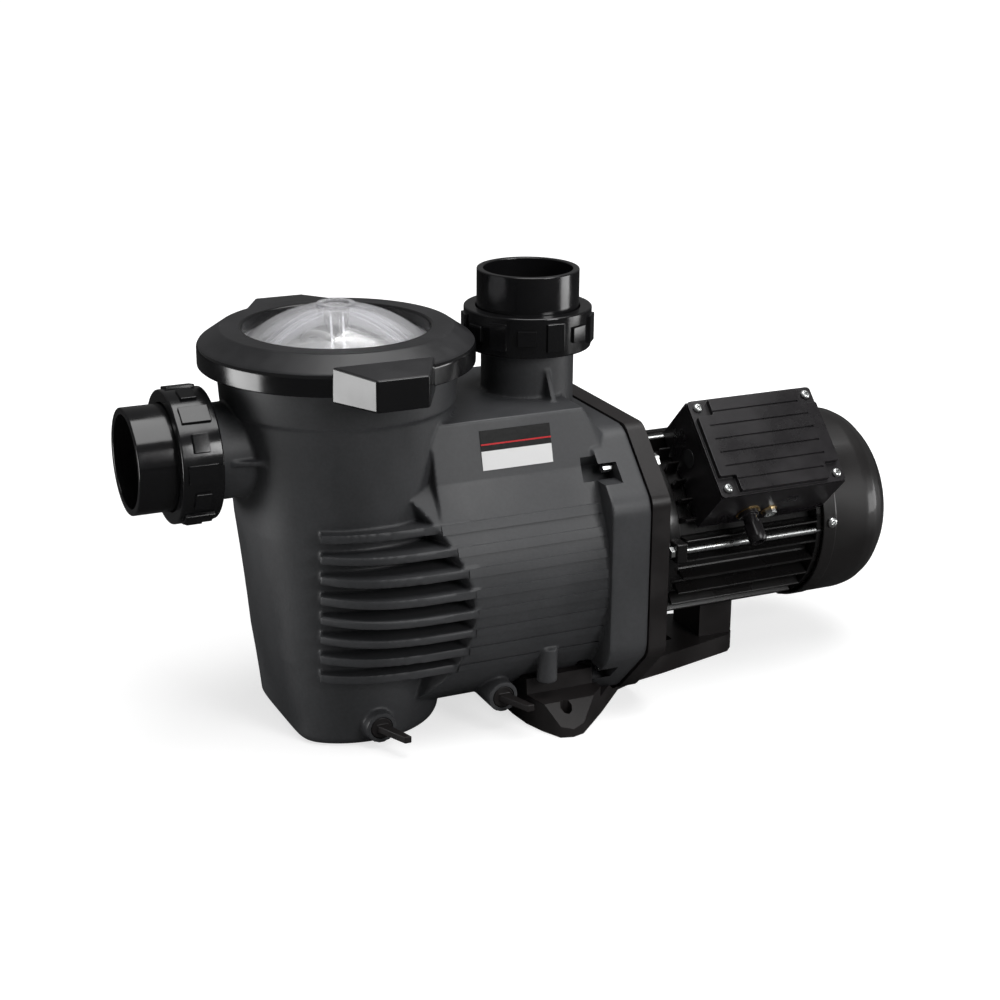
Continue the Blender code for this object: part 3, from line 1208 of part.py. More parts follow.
def base(finish_material):
    made = plate([base_plan()], FOOT_BLOCK_Z + 2, name="base")
    foot_end = FOOT_END_X + 10
    space = plate([base_cross_section()], foot_end - BASE_FRONT_X + 4, (BASE_FRONT_X - 4, 0, 0),
                  CROSS_SECTION,
                  "space_over_feet")
    join(space, block((foot_end - 1, -FOOT_TIP_Y - 12, BASE_HEIGHT),
                      (BASE_REAR_X + 5, FOOT_TIP_Y + 12, 60)))
    cut(made, space)
    pillar = block((PILLAR_START_X, -PILLAR_HALF_Y, BASE_HEIGHT - 3),
                   (BASE_REAR_X - 1, PILLAR_HALF_Y, MOTOR_Z - 50))
    join(made, pillar)
    drum = rod(DRUM_R + GAP, FLANGE_FRONT_X + 6 - 90, (90, 0, MOTOR_Z), X_AXIS, 40, "drum_space")
    length = PLATE_THICKNESS + FLANGE_REAR_X - FLANGE_FRONT_X + 4 * GAP
    flange = plate([flange_outline(1.0 + GAP)], length, (FLANGE_FRONT_X - GAP, 0, MOTOR_Z), CROSS_SECTION,
                   "flange_space")
    motor = rod(FIN_R + GAP + 0.4, 50, (PILLAR_START_X - 10, 0, MOTOR_Z), X_AXIS, ROUND, "motor_space")
    start, end, half = BASE_SLOT
    slot = block((start, -half, -2), (end, half, BASE_HEIGHT + 2))
    cut(made, drum, flange, motor, slot)
    for side in (-1, 1):
        cut(made, rod(FOOT_HOLE_R, 60, (FOOT_TIP_X, side * (FOOT_LEDGE_Y + 3), -2), UP_AXIS, SMALL,
                      "foot_bolt_hole"))
        at = (BASE_SCREW_X, side * BASE_SCREW_Y, 0)
        head = turned([(0, -2), (5.4, -2), (5.4, 3.0), (BASE_SCREW_R + GAP, 3.0), (BASE_SCREW_R + GAP, 20),
                       (0, 20)],
                      at, UP_AXIS, SMALL, "base_screw_hole")
        cut(made, head)
    return finish(made, "base", finish_material)


def base_screws(finish_material):
    for side, name in ((-1, "near"), (1, "far")):
        made = turned([(0, 0.6), (5.0, 0.6), (5.0, 2.7), (BASE_SCREW_R, 2.7), (BASE_SCREW_R, 18), (0, 18)],
                      (BASE_SCREW_X, side * BASE_SCREW_Y, 0), UP_AXIS, SMALL)
        finish(made, f"base_screw_{name}", finish_material)


# ---------------------------------------------------------------- the whole pump


def main():
    global parts, cutters
    clear_scene()
    parts = new_collection("pool_pump")
    cutters = new_collection("cutters")

    grey = material("charcoal_plastic", (0.045, 0.045, 0.048), 0.55)
    gloss = material("gloss_black_plastic", (0.006, 0.006, 0.007), 0.22)
    satin = material("satin_black_plastic", (0.012, 0.011, 0.011), 0.42)
    white = material("white_plastic", (0.62, 0.62, 0.6), 0.5)
    clear = material("clear_plastic", (0.9, 0.92, 0.93), 0.05, alpha=0.3)
    rubber = material("rubber", (0.01, 0.01, 0.01), 0.75)
    paint = material("black_paint", (0.007, 0.007, 0.008), 0.25, 0.2)
    zinc = material("zinc_steel", (0.62, 0.62, 0.6), 0.3, 1.0)
    steel = material("steel", (0.5, 0.5, 0.5), 0.35, 1.0)
    copper = material("copper", (0.7, 0.3, 0.15), 0.35, 1.0)
    aluminium = material("aluminium", (0.75, 0.75, 0.76), 0.35, 1.0)
    carbon = material("carbon", (0.02, 0.02, 0.02), 0.5)
    ceramic = material("ceramic", (0.85, 0.85, 0.82), 0.3)

    spin_axis = bpy.data.objects.new("rotor_axis", None)
    spin_axis.location = Vector((0, 0, MOTOR_Z)) * MM
    parts.objects.link(spin_axis)
    bpy.context.view_layer.update()

    pump_body(grey)
    lid_lens(clear)
    lid_o_ring(rubber)
    lock_ring(gloss)
    strainer_basket(white)
    union_set("suction", SUCTION_AT, SUCTION_TURN, gloss, rubber)
    union_set("discharge", DISCHARGE_AT, UP_AXIS, gloss, rubber)
    drain_plug("tank", TANK_DRAIN, satin, rubber)
    drain_plug("volute", VOLUTE_DRAIN, satin, rubber)

    seal_plate(satin)
    casing_o_ring(rubber)
    casing_bolts(zinc)
    diffuser(satin)
    impeller(white, spin_axis)
    shaft_seal(carbon, ceramic, spin_axis)

    front_shield(paint)
    rear_shield(paint)
    motor_housing(paint)
    tie_rods(zinc)
    stator(steel, copper)
    shaft(steel, spin_axis)
    x_ring("rotor_core", SHAFT_R + 0.6 + GAP, ROTOR_R, CORE_START_X, CORE_END_X, steel, spin_axis)
    bearing_bore = SHAFT_R + 0.6 + GAP
    x_ring("front_bearing", bearing_bore, BEARING_R, FRONT_BEARING_X + GAP, FRONT_BEARING_X + BEARING_WIDTH,
           steel)
    x_ring("rear_bearing", bearing_bore, BEARING_R, REAR_BEARING_X + GAP, REAR_BEARING_X + BEARING_WIDTH,
           steel)
    cooling_fan(satin, spin_axis)
    fan_cover(paint)
    cover_screws(zinc)

    terminal_box(satin)
    terminal_lid(satin)
    lid_screws(zinc)
    box_contents(white, aluminium)
    cable_gland(satin)
    ground_screw(zinc)

    base(satin)
    base_screws(zinc)


main()
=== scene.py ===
# %% [markdown]
# # Dressing a pool pump
# The engineering model of this pump gives every piece its size, its place and its joint, but it is
# made of flat facets. Here each piece that shows gets its final surface: round things are turned
# again with many more sides, moulded things get soft edges, and every material gets its grain.
# The engineering model is loaded first. Nothing in it is moved.

# %% Load the engineering model
import math

import bmesh
import bpy
from mathutils import Matrix, Vector


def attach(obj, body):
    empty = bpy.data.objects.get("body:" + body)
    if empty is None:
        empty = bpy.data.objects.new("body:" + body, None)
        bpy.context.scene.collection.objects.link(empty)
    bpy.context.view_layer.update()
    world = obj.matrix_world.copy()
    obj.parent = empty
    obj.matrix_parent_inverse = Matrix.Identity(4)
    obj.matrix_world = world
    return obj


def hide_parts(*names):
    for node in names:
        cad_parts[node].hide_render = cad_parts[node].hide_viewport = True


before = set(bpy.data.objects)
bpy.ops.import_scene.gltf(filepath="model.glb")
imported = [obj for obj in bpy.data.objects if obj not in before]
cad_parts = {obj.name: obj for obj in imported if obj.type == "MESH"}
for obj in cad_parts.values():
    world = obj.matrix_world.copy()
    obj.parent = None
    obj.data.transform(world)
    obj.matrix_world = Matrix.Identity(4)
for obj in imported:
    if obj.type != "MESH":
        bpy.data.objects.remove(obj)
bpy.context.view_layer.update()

# %% [markdown]
# ## Camera
# A long lens stands near the strainer tank's front corner and looks slightly down, so the lid, both
# pipe ports and the side of the motor all show. The camera is made first, because every later choice
# is judged through it.

# %% Place the camera
CAMERA_AT = Vector((-0.4601, -1.2616, 0.6157))
CAMERA_AIM = Vector((0.1233, 0.0, 0.1403))
CAMERA_ROLL = math.radians(0.45)

camera = bpy.data.objects.new("camera", bpy.data.cameras.new("camera"))
bpy.context.scene.collection.objects.link(camera)
camera.data.lens = 72.97
camera.data.sensor_width = 36.0
camera.data.clip_start = 0.01
facing = (CAMERA_AIM - CAMERA_AT).to_track_quat("-Z", "Y").to_matrix().to_4x4()
roll = Matrix.Rotation(CAMERA_ROLL, 4, "Z")
camera.matrix_world = Matrix.Translation(CAMERA_AT) @ facing @ roll
bpy.context.scene.camera = camera
print("camera distance:", round((CAMERA_AIM - CAMERA_AT).length, 3), "m")

# %% [markdown]
# ## Shader arithmetic
# Materials are easier to read as sums than as boxes and wires. `Wire` wraps one socket and lets
# ordinary operators add the Math nodes. `Finish` owns one material and adds every other node.

# %% A small class for shader sums


class Wire:
    """One output socket that can be used in sums."""

    def __init__(self, owner, socket):
        self.owner = owner
        self.socket = socket

    def math(self, operation, other, swap=False):
        first, second = (other, self) if swap else (self, other)
        return self.owner.add("ShaderNodeMath", {"operation": operation}, {0: first, 1: second})

    def __add__(self, other):
        return self.math("ADD", other)

    def __radd__(self, other):
        return self.math("ADD", other, swap=True)

    def __sub__(self, other):
        return self.math("SUBTRACT", other)

    def __rsub__(self, other):
        return self.math("SUBTRACT", other, swap=True)

    def __mul__(self, other):
        return self.math("MULTIPLY", other)

    def __rmul__(self, other):
        return self.math("MULTIPLY", other, swap=True)


class Finish:
    """One material: a Principled shader and the nodes that feed it."""

    def __init__(self, name, color, roughness, **sockets):
        self.material = bpy.data.materials.new(name)
        self.material.use_nodes = True
        self.tree = self.material.node_tree
        self.shader = self.tree.nodes["Principled BSDF"]
        self.place = None
        self.feed("Base Color", (*color, 1.0))
        self.feed("Roughness", roughness)
        for socket, value in sockets.items():
            self.feed(socket.replace("_", " "), value)

    def add(self, kind, settings=None, sockets=None, out=0):
        node = self.tree.nodes.new(kind)
        for key, value in (settings or {}).items():
            setattr(node, key, value)
        for key, value in (sockets or {}).items():
            self.plug(node.inputs[key], value)
        return Wire(self, node.outputs[out])

    def plug(self, socket, value):
        if isinstance(value, Wire):
            self.tree.links.new(value.socket, socket)
        else:
            socket.default_value = value

    def feed(self, socket, value):
        self.plug(self.shader.inputs[socket], value)

    def position(self, stretch=(1, 1, 1)):
        """Object coordinates, stretched: the pieces stand at the origin, so these are metres."""
        if self.place is None:
            self.place = self.add("ShaderNodeTexCoord", out="Object")
        return self.add("ShaderNodeVectorMath", {"operation": "MULTIPLY"},
                        {0: self.place, 1: stretch})

    def noise(self, scale, detail=3.0, stretch=(1, 1, 1)):
        return self.add("ShaderNodeTexNoise", {},
                        {"Vector": self.position(stretch), "Scale": scale, "Detail": detail,
                         "Roughness": 0.55})

    def ramp(self, wire, low, high, to_low=0.0, to_high=1.0):
        """The value from low..high, moved to to_low..to_high."""
        return self.add("ShaderNodeMapRange", {"interpolation_type": "SMOOTHSTEP"},
                        {"Value": wire, "From Min": low, "From Max": high,
                         "To Min": to_low, "To Max": to_high})

    def mix(self, factor, first, second):
        """A colour between two, each of them (red, green, blue) or a Wire."""
        first, second = (color if isinstance(color, Wire) else (*color, 1.0)
                         for color in (first, second))
        return self.add("ShaderNodeMix", {"data_type": "RGBA"},
                        {"Factor": factor, 6: first, 7: second}, out=2)

    def bump(self, height, distance, strength):
        self.feed("Normal", self.add("ShaderNodeBump", {}, {"Height": height, "Distance": distance,
                                                            "Strength": strength}))
        return self


print("shader classes ready")

# %% [markdown]
# ## Moulded charcoal plastic
# The tank and casing are one glass-filled moulding. The real thing is dark grey, never black, with a
# dull spark-eroded skin and faint cloudy flow marks. Low-contrast noise at two sizes gives the clouds
# and flecks, and a fine bump gives the skin.

# %% Charcoal plastic


def charcoal():
    finish = Finish("charcoal_moulded", (0.036, 0.037, 0.039), 0.5)
    cloud = finish.noise(14.0, 4.0, (1, 1, 0.55))
    fleck = finish.noise(420.0, 2.0)
    tone = finish.ramp(cloud, 0.3, 0.72) * 0.75 + finish.ramp(fleck, 0.3, 0.7) * 0.25
    finish.feed("Base Color", finish.mix(tone, (0.027, 0.028, 0.030), (0.045, 0.046, 0.049)))
    finish.feed("Roughness", finish.ramp(cloud, 0.3, 0.7, 0.43, 0.56))
    skin = finish.noise(1500.0, 2.0)
    return finish.bump(skin + finish.noise(300.0, 2.0) * 0.6, 0.0001, 0.38).material


CHARCOAL = charcoal()
print("finish:", CHARCOAL.name)

# %% [markdown]
# ## Gloss black, satin black and enamel
# Union nuts and tails are polished mouldings, so they mirror the studio with only a slight ripple. The
# seal plate and base are the same family of plastic with a dull, slightly brown skin. The motor wears
# black enamel over cast and rolled metal: a gloss coat over an orange-peel bump.

# %% Black finishes


def polished(name, color, roughness, ripple):
    finish = Finish(name, color, roughness, Specular_IOR_Level=0.5)
    wave = finish.noise(45.0, 2.0)
    finish.feed("Roughness", finish.ramp(wave, 0.3, 0.7, roughness * 0.8, roughness * 1.3))
    return finish.bump(wave + finish.noise(700.0, 2.0) * 0.08, ripple, 0.35).material


def satin(name, color, roughness):
    finish = Finish(name, color, roughness, Specular_IOR_Level=0.32)
    cloud = finish.noise(30.0, 4.0)
    paler = tuple(1.5 * part for part in color)
    finish.feed("Base Color", finish.mix(finish.ramp(cloud, 0.35, 0.75), color, paler))
    finish.feed("Roughness", finish.ramp(cloud, 0.3, 0.7, roughness - 0.06, roughness + 0.08))
    return finish.bump(finish.noise(1300.0, 2.0), 0.00008, 0.35).material


def enamel(name, color, roughness):
    finish = Finish(name, color, roughness, Specular_IOR_Level=0.4, Coat_Weight=0.3,
                    Coat_Roughness=0.12)
    peel = finish.noise(260.0, 2.0)
    wave = finish.noise(24.0, 3.0)
    finish.feed("Roughness", finish.ramp(wave, 0.3, 0.7, roughness - 0.05, roughness + 0.1))
    return finish.bump(peel, 0.00012, 0.3).material


GLOSS = polished("gloss_black_moulded", (0.006, 0.006, 0.0065), 0.16, 0.0003)
RING_TOP = satin("ring_top_satin", (0.017, 0.017, 0.018), 0.38)
SATIN = satin("satin_black_moulded", (0.011, 0.0095, 0.0095), 0.42)
BOX = satin("box_black_moulded", (0.0095, 0.0085, 0.0095), 0.3)
ENAMEL = enamel("motor_enamel", (0.0065, 0.006, 0.006), 0.28)
COVER = enamel("cover_enamel", (0.0085, 0.0075, 0.0075), 0.38)
RUBBER = satin("ring_rubber", (0.012, 0.012, 0.012), 0.62)
print("black finishes: 7")

# %% [markdown]
# ## Plated and machined metal
# Screws and tie rods are bright zinc. Real zinc plate is not a mirror: it is cloudy, with small
# passivation stains, so roughness wanders more than colour. The washers under the gland and the earth
# screw are yellow-passivated.

# %% Metal finishes


def plated(name, color, roughness, stain):
    finish = Finish(name, color, roughness, Metallic=1.0)
    cloud = finish.noise(220.0, 3.0)
    finish.feed("Base Color", finish.mix(finish.ramp(cloud, 0.35, 0.75), color, stain))
    finish.feed("Roughness", finish.ramp(cloud, 0.3, 0.7, roughness - 0.08, roughness + 0.12))
    return finish.bump(finish.noise(900.0, 2.0), 0.00005, 0.3).material


ZINC = plated("zinc_plate", (0.72, 0.73, 0.72), 0.28, (0.5, 0.52, 0.52))
YELLOW_ZINC = plated("yellow_zinc", (0.62, 0.43, 0.16), 0.34, (0.5, 0.33, 0.2))
STEEL = plated("machined_steel", (0.55, 0.55, 0.55), 0.32, (0.4, 0.4, 0.41))
COPPER = plated("varnished_copper", (0.62, 0.27, 0.13), 0.36, (0.45, 0.18, 0.09))
CAN = plated("drawn_aluminium", (0.78, 0.78, 0.79), 0.3, (0.66, 0.66, 0.68))
print("metal finishes: 5")

# %% [markdown]
# ## Clear, white and seal materials
# The lid is clear polycarbonate, thick enough to bend what is seen through it. Light has to reach the
# basket below, so part of each ray goes straight through (alpha) and the rest is refracted. The thin
# ribs are given a milkier version, because their cut edges gather light.

# %% Clear and white finishes


def white_moulded(name, color, roughness):
    finish = Finish(name, color, roughness)
    cloud = finish.noise(40.0, 3.0)
    darker = tuple(0.86 * part for part in color)
    finish.feed("Base Color", finish.mix(finish.ramp(cloud, 0.3, 0.7), darker, color))
    return finish.bump(finish.noise(900.0, 2.0), 0.00008, 0.3).material


def clear(name, transmission, facing_alpha, edge_alpha):
    finish = Finish(name, (0.93, 0.93, 0.96), 0.05, Transmission_Weight=transmission, IOR=1.4)
    edge = finish.add("ShaderNodeLayerWeight", {}, {"Blend": 0.35}, out="Facing")
    finish.feed("Alpha", finish.ramp(edge, 0.15, 0.95, facing_alpha, edge_alpha))
    return finish.bump(finish.noise(60.0, 2.0), 0.0002, 0.2).material


WHITE = white_moulded("basket_white", (0.68, 0.68, 0.66), 0.45)
CERAMIC = white_moulded("seal_ceramic", (0.85, 0.85, 0.82), 0.25)
CARBON = satin("seal_carbon", (0.02, 0.02, 0.02), 0.4)
CLEAR = clear("clear_polycarbonate", 0.72, 0.4, 0.8)
CLEAR_RIB = clear("clear_rib_edges", 0.35, 0.7, 0.95)
print("clear and white finishes: 5")

# %% [markdown]
# ## Shaping helpers
# Sizes on this pump are known in millimetres, so the helpers take millimetres and make metres. A
# turned piece is an outline of radius and height that is swept round; `eased` rounds the outline's
# corners first, because a real moulding has no sharp edge, and the soft edge is what catches light.

# %% Turned and extruded shapes
MM = 0.001
AXIS_Z = 106.0
WELD = 0.002 * MM
COPY_WELD = 0.02 * MM
SLIVER = 0.02 * MM
UPRIGHT = Matrix.Identity(4)
ALONG_X = Matrix.Rotation(math.radians(90), 4, "Y")
AGAINST_X = Matrix.Rotation(math.radians(-90), 4, "Y")
TOWARDS_NEAR = Matrix.Rotation(math.radians(90), 4, "X")
SECTION = Matrix.Rotation(math.radians(90), 4, "Z") @ Matrix.Rotation(math.radians(90), 4, "X")


def at(x, y, z, turn=UPRIGHT):
    return Matrix.Translation(Vector((x, y, z)) * MM) @ turn


MOTOR_AXIS = at(0, 0, AXIS_Z, ALONG_X)


def eased(outline, radius, closed=False, steps=3):
    """The outline with every corner rounded. A corner with no room keeps half its shorter side."""
    points = []
    count = len(outline)
    for number, corner in enumerate(outline):
        here = Vector(corner)
        if not closed and number in (0, count - 1):
            points.append(tuple(here))
            continue
        back = Vector(outline[number - 1]) - here
        ahead = Vector(outline[(number + 1) % count]) - here
        room = min(radius, 0.45 * back.length, 0.45 * ahead.length)
        start = here + back.normalized() * room
        end = here + ahead.normalized() * room
        for step in range(steps + 1):
            share = step / steps
            points.append(tuple(start.lerp(here, share).lerp(here.lerp(end, share), share)))
    return points


def mesh_piece(name, work, where=UPRIGHT):
    """An object from a bmesh, its place put into its points, so that its origin stays at zero."""
    bmesh.ops.remove_doubles(work, verts=work.verts, dist=WELD)
    bmesh.ops.recalc_face_normals(work, faces=work.faces)
    mesh = bpy.data.meshes.new(name)
    work.to_mesh(mesh)
    work.free()
    mesh.transform(where)
    piece = bpy.data.objects.new(name, mesh)
    bpy.context.scene.collection.objects.link(piece)
    return piece


def turn_piece(name, outline, where=UPRIGHT, sides=128, closed=True):
    """Sweeps (radius, height) points round the local Z axis."""
    work = bmesh.new()
    rings = []
    for radius, height in outline:
        if radius < 0.001:
            rings.append([work.verts.new((0, 0, height * MM))] * sides)
            continue
        turns = [math.tau * step / sides for step in range(sides)]
        rings.append([work.verts.new((radius * MM * math.cos(turn), radius * MM * math.sin(turn),
                                      height * MM)) for turn in turns])
    pairs = list(zip(rings, rings[1:] + rings[:1])) if closed else list(zip(rings, rings[1:]))
    for low, high in pairs:
        for step in range(sides):
            after = (step + 1) % sides
            corners = []
            for vert in (low[step], low[after], high[after], high[step]):
                if vert not in corners:
                    corners.append(vert)
            if len(corners) > 2:
                work.faces.new(corners)
    return mesh_piece(name, work, where)


def loft_piece(name, rings, where=UPRIGHT):
    """A closed solid through rings that have as many points each, in millimetres."""
    work = bmesh.new()
    made = [[work.verts.new(Vector(point) * MM) for point in ring] for ring in rings]
    count = len(made[0])
    for low, high in zip(made, made[1:]):
        for step in range(count):
            after = (step + 1) % count
            work.faces.new((low[step], low[after], high[after], high[step]))
    work.faces.new(made[0][::-1])
    work.faces.new(made[-1])
    return mesh_piece(name, work, where)


def slab_piece(name, outline, low, high, where=UPRIGHT):
    """An outline drawn out straight from one height to another."""
    return loft_piece(name, [[(x, y, z) for x, y in outline] for z in (low, high)], where)


def brick_piece(name, low, high, where=UPRIGHT):
    outline = [(low[0], low[1]), (high[0], low[1]), (high[0], high[1]), (low[0], high[1])]
    return slab_piece(name, outline, low[2], high[2], where)


def rod_piece(name, radius, low, high, where=UPRIGHT, sides=48):
    outline = [(0, low), (radius, low), (radius, high), (0, high)]
    return turn_piece(name, outline, where, sides, closed=False)


def hexagon(radius):
    turns = [math.tau * corner / 6 for corner in range(6)]
    return [(radius * math.cos(turn), radius * math.sin(turn)) for turn in turns]


print("helpers: turn, loft, slab, brick, rod, hexagon")

# %% [markdown]
# Booleans join and cut these solids. A modifier is applied at once and its tools are removed, and
# slivers thinner than a fiftieth of a millimetre are closed, so each finished piece is a plain mesh.

# %% Joining, cutting and finishing


def apply_modifiers(piece):
    graph = bpy.context.evaluated_depsgraph_get()
    mesh = bpy.data.meshes.new_from_object(piece.evaluated_get(graph))
    piece.modifiers.clear()
    piece.data = mesh
    return piece


def boolean(piece, operation, tools):
    for tool in tools:
        step = piece.modifiers.new(tool.name, "BOOLEAN")
        step.operation = operation
        step.solver = "MANIFOLD"
        step.object = tool
    apply_modifiers(piece)
    for tool in tools:
        bpy.data.objects.remove(tool, do_unlink=True)
    work = bmesh.new()
    work.from_mesh(piece.data)
    bmesh.ops.remove_doubles(work, verts=work.verts, dist=SLIVER)
    bmesh.ops.dissolve_degenerate(work, edges=work.edges, dist=SLIVER)
    work.to_mesh(piece.data)
    work.free()
    return piece


def soften_edges(piece, width, angle=32.0, segments=3):
    step = piece.modifiers.new("soft_edges", "BEVEL")
    step.width = width * MM
    step.segments = segments
    step.limit_method = "ANGLE"
    step.angle_limit = math.radians(angle)
    step.harden_normals = False
    return apply_modifiers(piece)


def merged(name, pieces):
    """Several solids in one object, without a Boolean."""
    work = bmesh.new()
    for piece in pieces:
        work.from_mesh(piece.data)
        bpy.data.objects.remove(piece, do_unlink=True)
    return mesh_piece(name, work)


def dress(piece, body, slot, *materials, nodes=(), angle=38.0):
    """Gives a piece its finish and body, and smooth shading in which flat faces stay flat."""
    piece.data.materials.clear()
    for material in materials:
        piece.data.materials.append(material)
    piece.data.shade_smooth()
    piece.data.set_sharp_from_angle(angle=math.radians(angle))
    even = piece.modifiers.new("even_shading", "WEIGHTED_NORMAL")
    even.keep_sharp = True
    apply_modifiers(piece)
    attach(piece, body)
    if nodes:
        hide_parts(*nodes)
    print(piece.name, "faces:", len(piece.data.polygons))


def softened_copy(node, width, name=None, angle=32.0):
    """A copy of a CAD node with welded points, flat faces made whole again, and rounded edges."""
    work = bmesh.new()
    work.from_mesh(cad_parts[node].data)
    bmesh.ops.remove_doubles(work, verts=work.verts, dist=COPY_WELD)
    bmesh.ops.dissolve_limit(work, angle_limit=math.radians(1.0), verts=work.verts, edges=work.edges)
    piece = mesh_piece(name or node + "_soft", work)
    return soften_edges(piece, width, angle)


# %% [markdown]
# ## The moulded body
# On the real pump the strainer tank, casing, necks and ribs are one injection moulding: everything
# flows together with small radii and no seam. Booleans would leave razor-sharp joins. So the solids
# are simply overlapped, turned into one skin by a voxel remesh of 1.1 mm, and lightly smoothed,
# which rounds every edge and every inside corner by about the radius that a mould has.
# The tank is a loft whose front is pressed nearly flat: a superellipse joins the flat to the round.

# %% The tank and its inside
TANK_FOOT_R, TANK_TOP_R = 67.5, 81.4
RIM_LOW, RIM_TOP = 256.0, 268.0
TANK_WALL = 5.5
FLAT_AT_FOOT, FLAT_SLOPE, FLAT_POWER = 48.0, 0.165, 16


def tank_r(z):
    return TANK_FOOT_R + (TANK_TOP_R - TANK_FOOT_R) * min(z, RIM_LOW) / RIM_LOW


def tank_ring(z, extra, inset, sides=160):
    """One level of the tank: its radius, grown by extra and shrunk by inset, flattened in front."""
    radius = tank_r(z) + extra - inset
    flat = FLAT_AT_FOOT + FLAT_SLOPE * z + min(extra, 0.0) - inset
    ring = []
    for step in range(sides):
        angle = math.tau * step / sides
        forward = -math.cos(angle)
        reach = radius
        if forward > 0.01:
            blend = radius ** -FLAT_POWER + (flat / forward) ** -FLAT_POWER
            reach = blend ** (-1 / FLAT_POWER)
        ring.append((reach * math.cos(angle), reach * math.sin(angle), z))
    return ring


tank_levels = [(0, -5), (1.5, -1.5), (5, 0), (60, 0), (150, 0), (231, 0), (232, 1.4),
               (RIM_LOW, 1.4), (259, 5.6), (RIM_TOP, 5.6)]
tank = loft_piece("tank", [tank_ring(z, extra, 0.0) for z, extra in tank_levels])
cavity_levels = [(6, -4), (10, 0), (60, 0), (150, 0), (232, 0), (244, -3.4), (254, -3.4)]
tank_cavity = loft_piece("tank_cavity",
                         [tank_ring(z, extra, TANK_WALL) for z, extra in cavity_levels])
print("tank height:", RIM_TOP, "mm")

# %% [markdown]
# The casing is a drum about the motor's axis. Its front end is not flat: the pockets between the ribs
# run out on it in a bow, so each point of the drum's front edge has its own place along the axis.

# %% The drum with its bowed front edge
DRUM_R = 102.0
FLANGE_X = 160.0


def drum_half(z, radius=DRUM_R):
    return math.sqrt(max(radius ** 2 - (z - AXIS_Z) ** 2, 0.0))


def pocket_end(height):
    """Where a pocket ends along the axis, for a height above the motor's axis."""
    return 59.0 - (height + 10.0) ** 2 / 180.0


def drum_solid(sides=192):
    front, rear = [], []
    for step in range(sides):
        angle = math.tau * step / sides
        y, z = DRUM_R * math.cos(angle), DRUM_R * math.sin(angle)
        start = max(pocket_end(z), 20.0)
        front.append((start, y, z + AXIS_Z))
        rear.append((FLANGE_X + 6, y, z + AXIS_Z))
    shrunk = 0.7
    inner = [(x + 1.0, shrunk * y, shrunk * (z - AXIS_Z) + AXIS_Z) for x, y, z in front]
    return loft_piece("drum", [inner, front, rear])


drum = drum_solid()
print("drum radius:", DRUM_R, "mm")

# %% [markdown]
# Eight horizontal ribs bridge the corner between tank and drum, and each goes on round the drum as a
# low band. Their outer edge starts blunt beside the tank and curves until it runs along the drum.

# %% Ribs and bands
RIBS, RIB_PITCH, RIB_THICK, RIB_TOP = 8, 14.6, 6.0, 157.6
RIB_START_X, RIB_END_X, RIB_BLUNT, RIB_EASE = -41.0, 62.0, 10.0, 4
BAND_HEIGHT = 0.9


def rib_middle(number):
    return RIB_TOP - RIB_PITCH * number


def rib_solid(number):
    middle = rib_middle(number)
    low, high = middle - RIB_THICK / 2, middle + RIB_THICK / 2
    half_start = math.sqrt(tank_r(middle) ** 2 - RIB_START_X ** 2) + RIB_BLUNT
    half_end = min(drum_half(low), drum_half(high)) + BAND_HEIGHT
    near = [(RIB_START_X + 5.0, -half_start + 14.0)]
    for step in range(25):
        share = step / 24
        half = half_end - (half_end - half_start) * (1 - share) ** RIB_EASE
        near.append((RIB_START_X + (RIB_END_X - RIB_START_X) * share, -half))
    outline = near + [(x, -y) for x, y in reversed(near)]
    return slab_piece(f"rib_{number}", outline, low, high)


def band_solid(number):
    middle = rib_middle(number)
    heights = [middle + RIB_THICK / 2 - RIB_THICK * step / 4 for step in range(5)]
    near = [(-drum_half(z, DRUM_R + BAND_HEIGHT), z) for z in heights]
    outline = near + [(-y, z) for y, z in reversed(near)]
    start = pocket_end(middle - AXIS_Z) + 2.0
    return slab_piece(f"band_{number}", outline, start, FLANGE_X + 4, SECTION)


ribs = [rib_solid(number) for number in range(RIBS)]
bands = [band_solid(number) for number in range(RIBS)]
print("ribs:", len(ribs), "bands:", len(bands))

# %% [markdown]
# Above the drum stands a shoulder with sloping sides, a half-octagon in section, that carries the
# outlet. It slopes down to the octagonal flange at its rear end.

# %% Shoulder and flange
SHOULDER_TOP_Y, SHOULDER_TOP_Z = 64.5, 223.6
SHOULDER_CREASE_Y, SHOULDER_CREASE_Z = 75.0, 184.0
FLANGE_HALF_Y, FLANGE_HALF_Z, FLANGE_CHAMFER, FLANGE_ROUND = 106.0, 100.0, 44.0, 8.4


def shoulder_ring(x, top, crease):
    foot_z, sunk_y, sunk_z = 160.0, 60.0, 120.0
    foot_y = drum_half(foot_z)
    half = [(-SHOULDER_CREASE_Y, crease), (-foot_y, foot_z), (-sunk_y, sunk_z), (sunk_y, sunk_z),
            (foot_y, foot_z), (SHOULDER_CREASE_Y, crease), (SHOULDER_TOP_Y, top),
            (-SHOULDER_TOP_Y, top)]
    return [(x, y, z) for y, z in half]


shoulder = loft_piece("shoulder", [shoulder_ring(41.0, SHOULDER_TOP_Z, SHOULDER_CREASE_Z),
                                   shoulder_ring(156.0, SHOULDER_TOP_Z, SHOULDER_CREASE_Z),
                                   shoulder_ring(172.0, 202.0, 182.0)])


def octagon():
    y, z, c = FLANGE_HALF_Y, FLANGE_HALF_Z, FLANGE_CHAMFER
    corners = [(-y, -z + c), (-y + c, -z), (y - c, -z), (y, -z + c),
               (y, z - c), (y - c, z), (-y + c, z), (-y, z - c)]
    return eased(corners, FLANGE_ROUND, closed=True, steps=6)


flange = slab_piece("flange", octagon(), FLANGE_X, 190.0, at(0, 0, AXIS_Z, SECTION))
print("flange width:", 2 * FLANGE_HALF_Y, "mm")

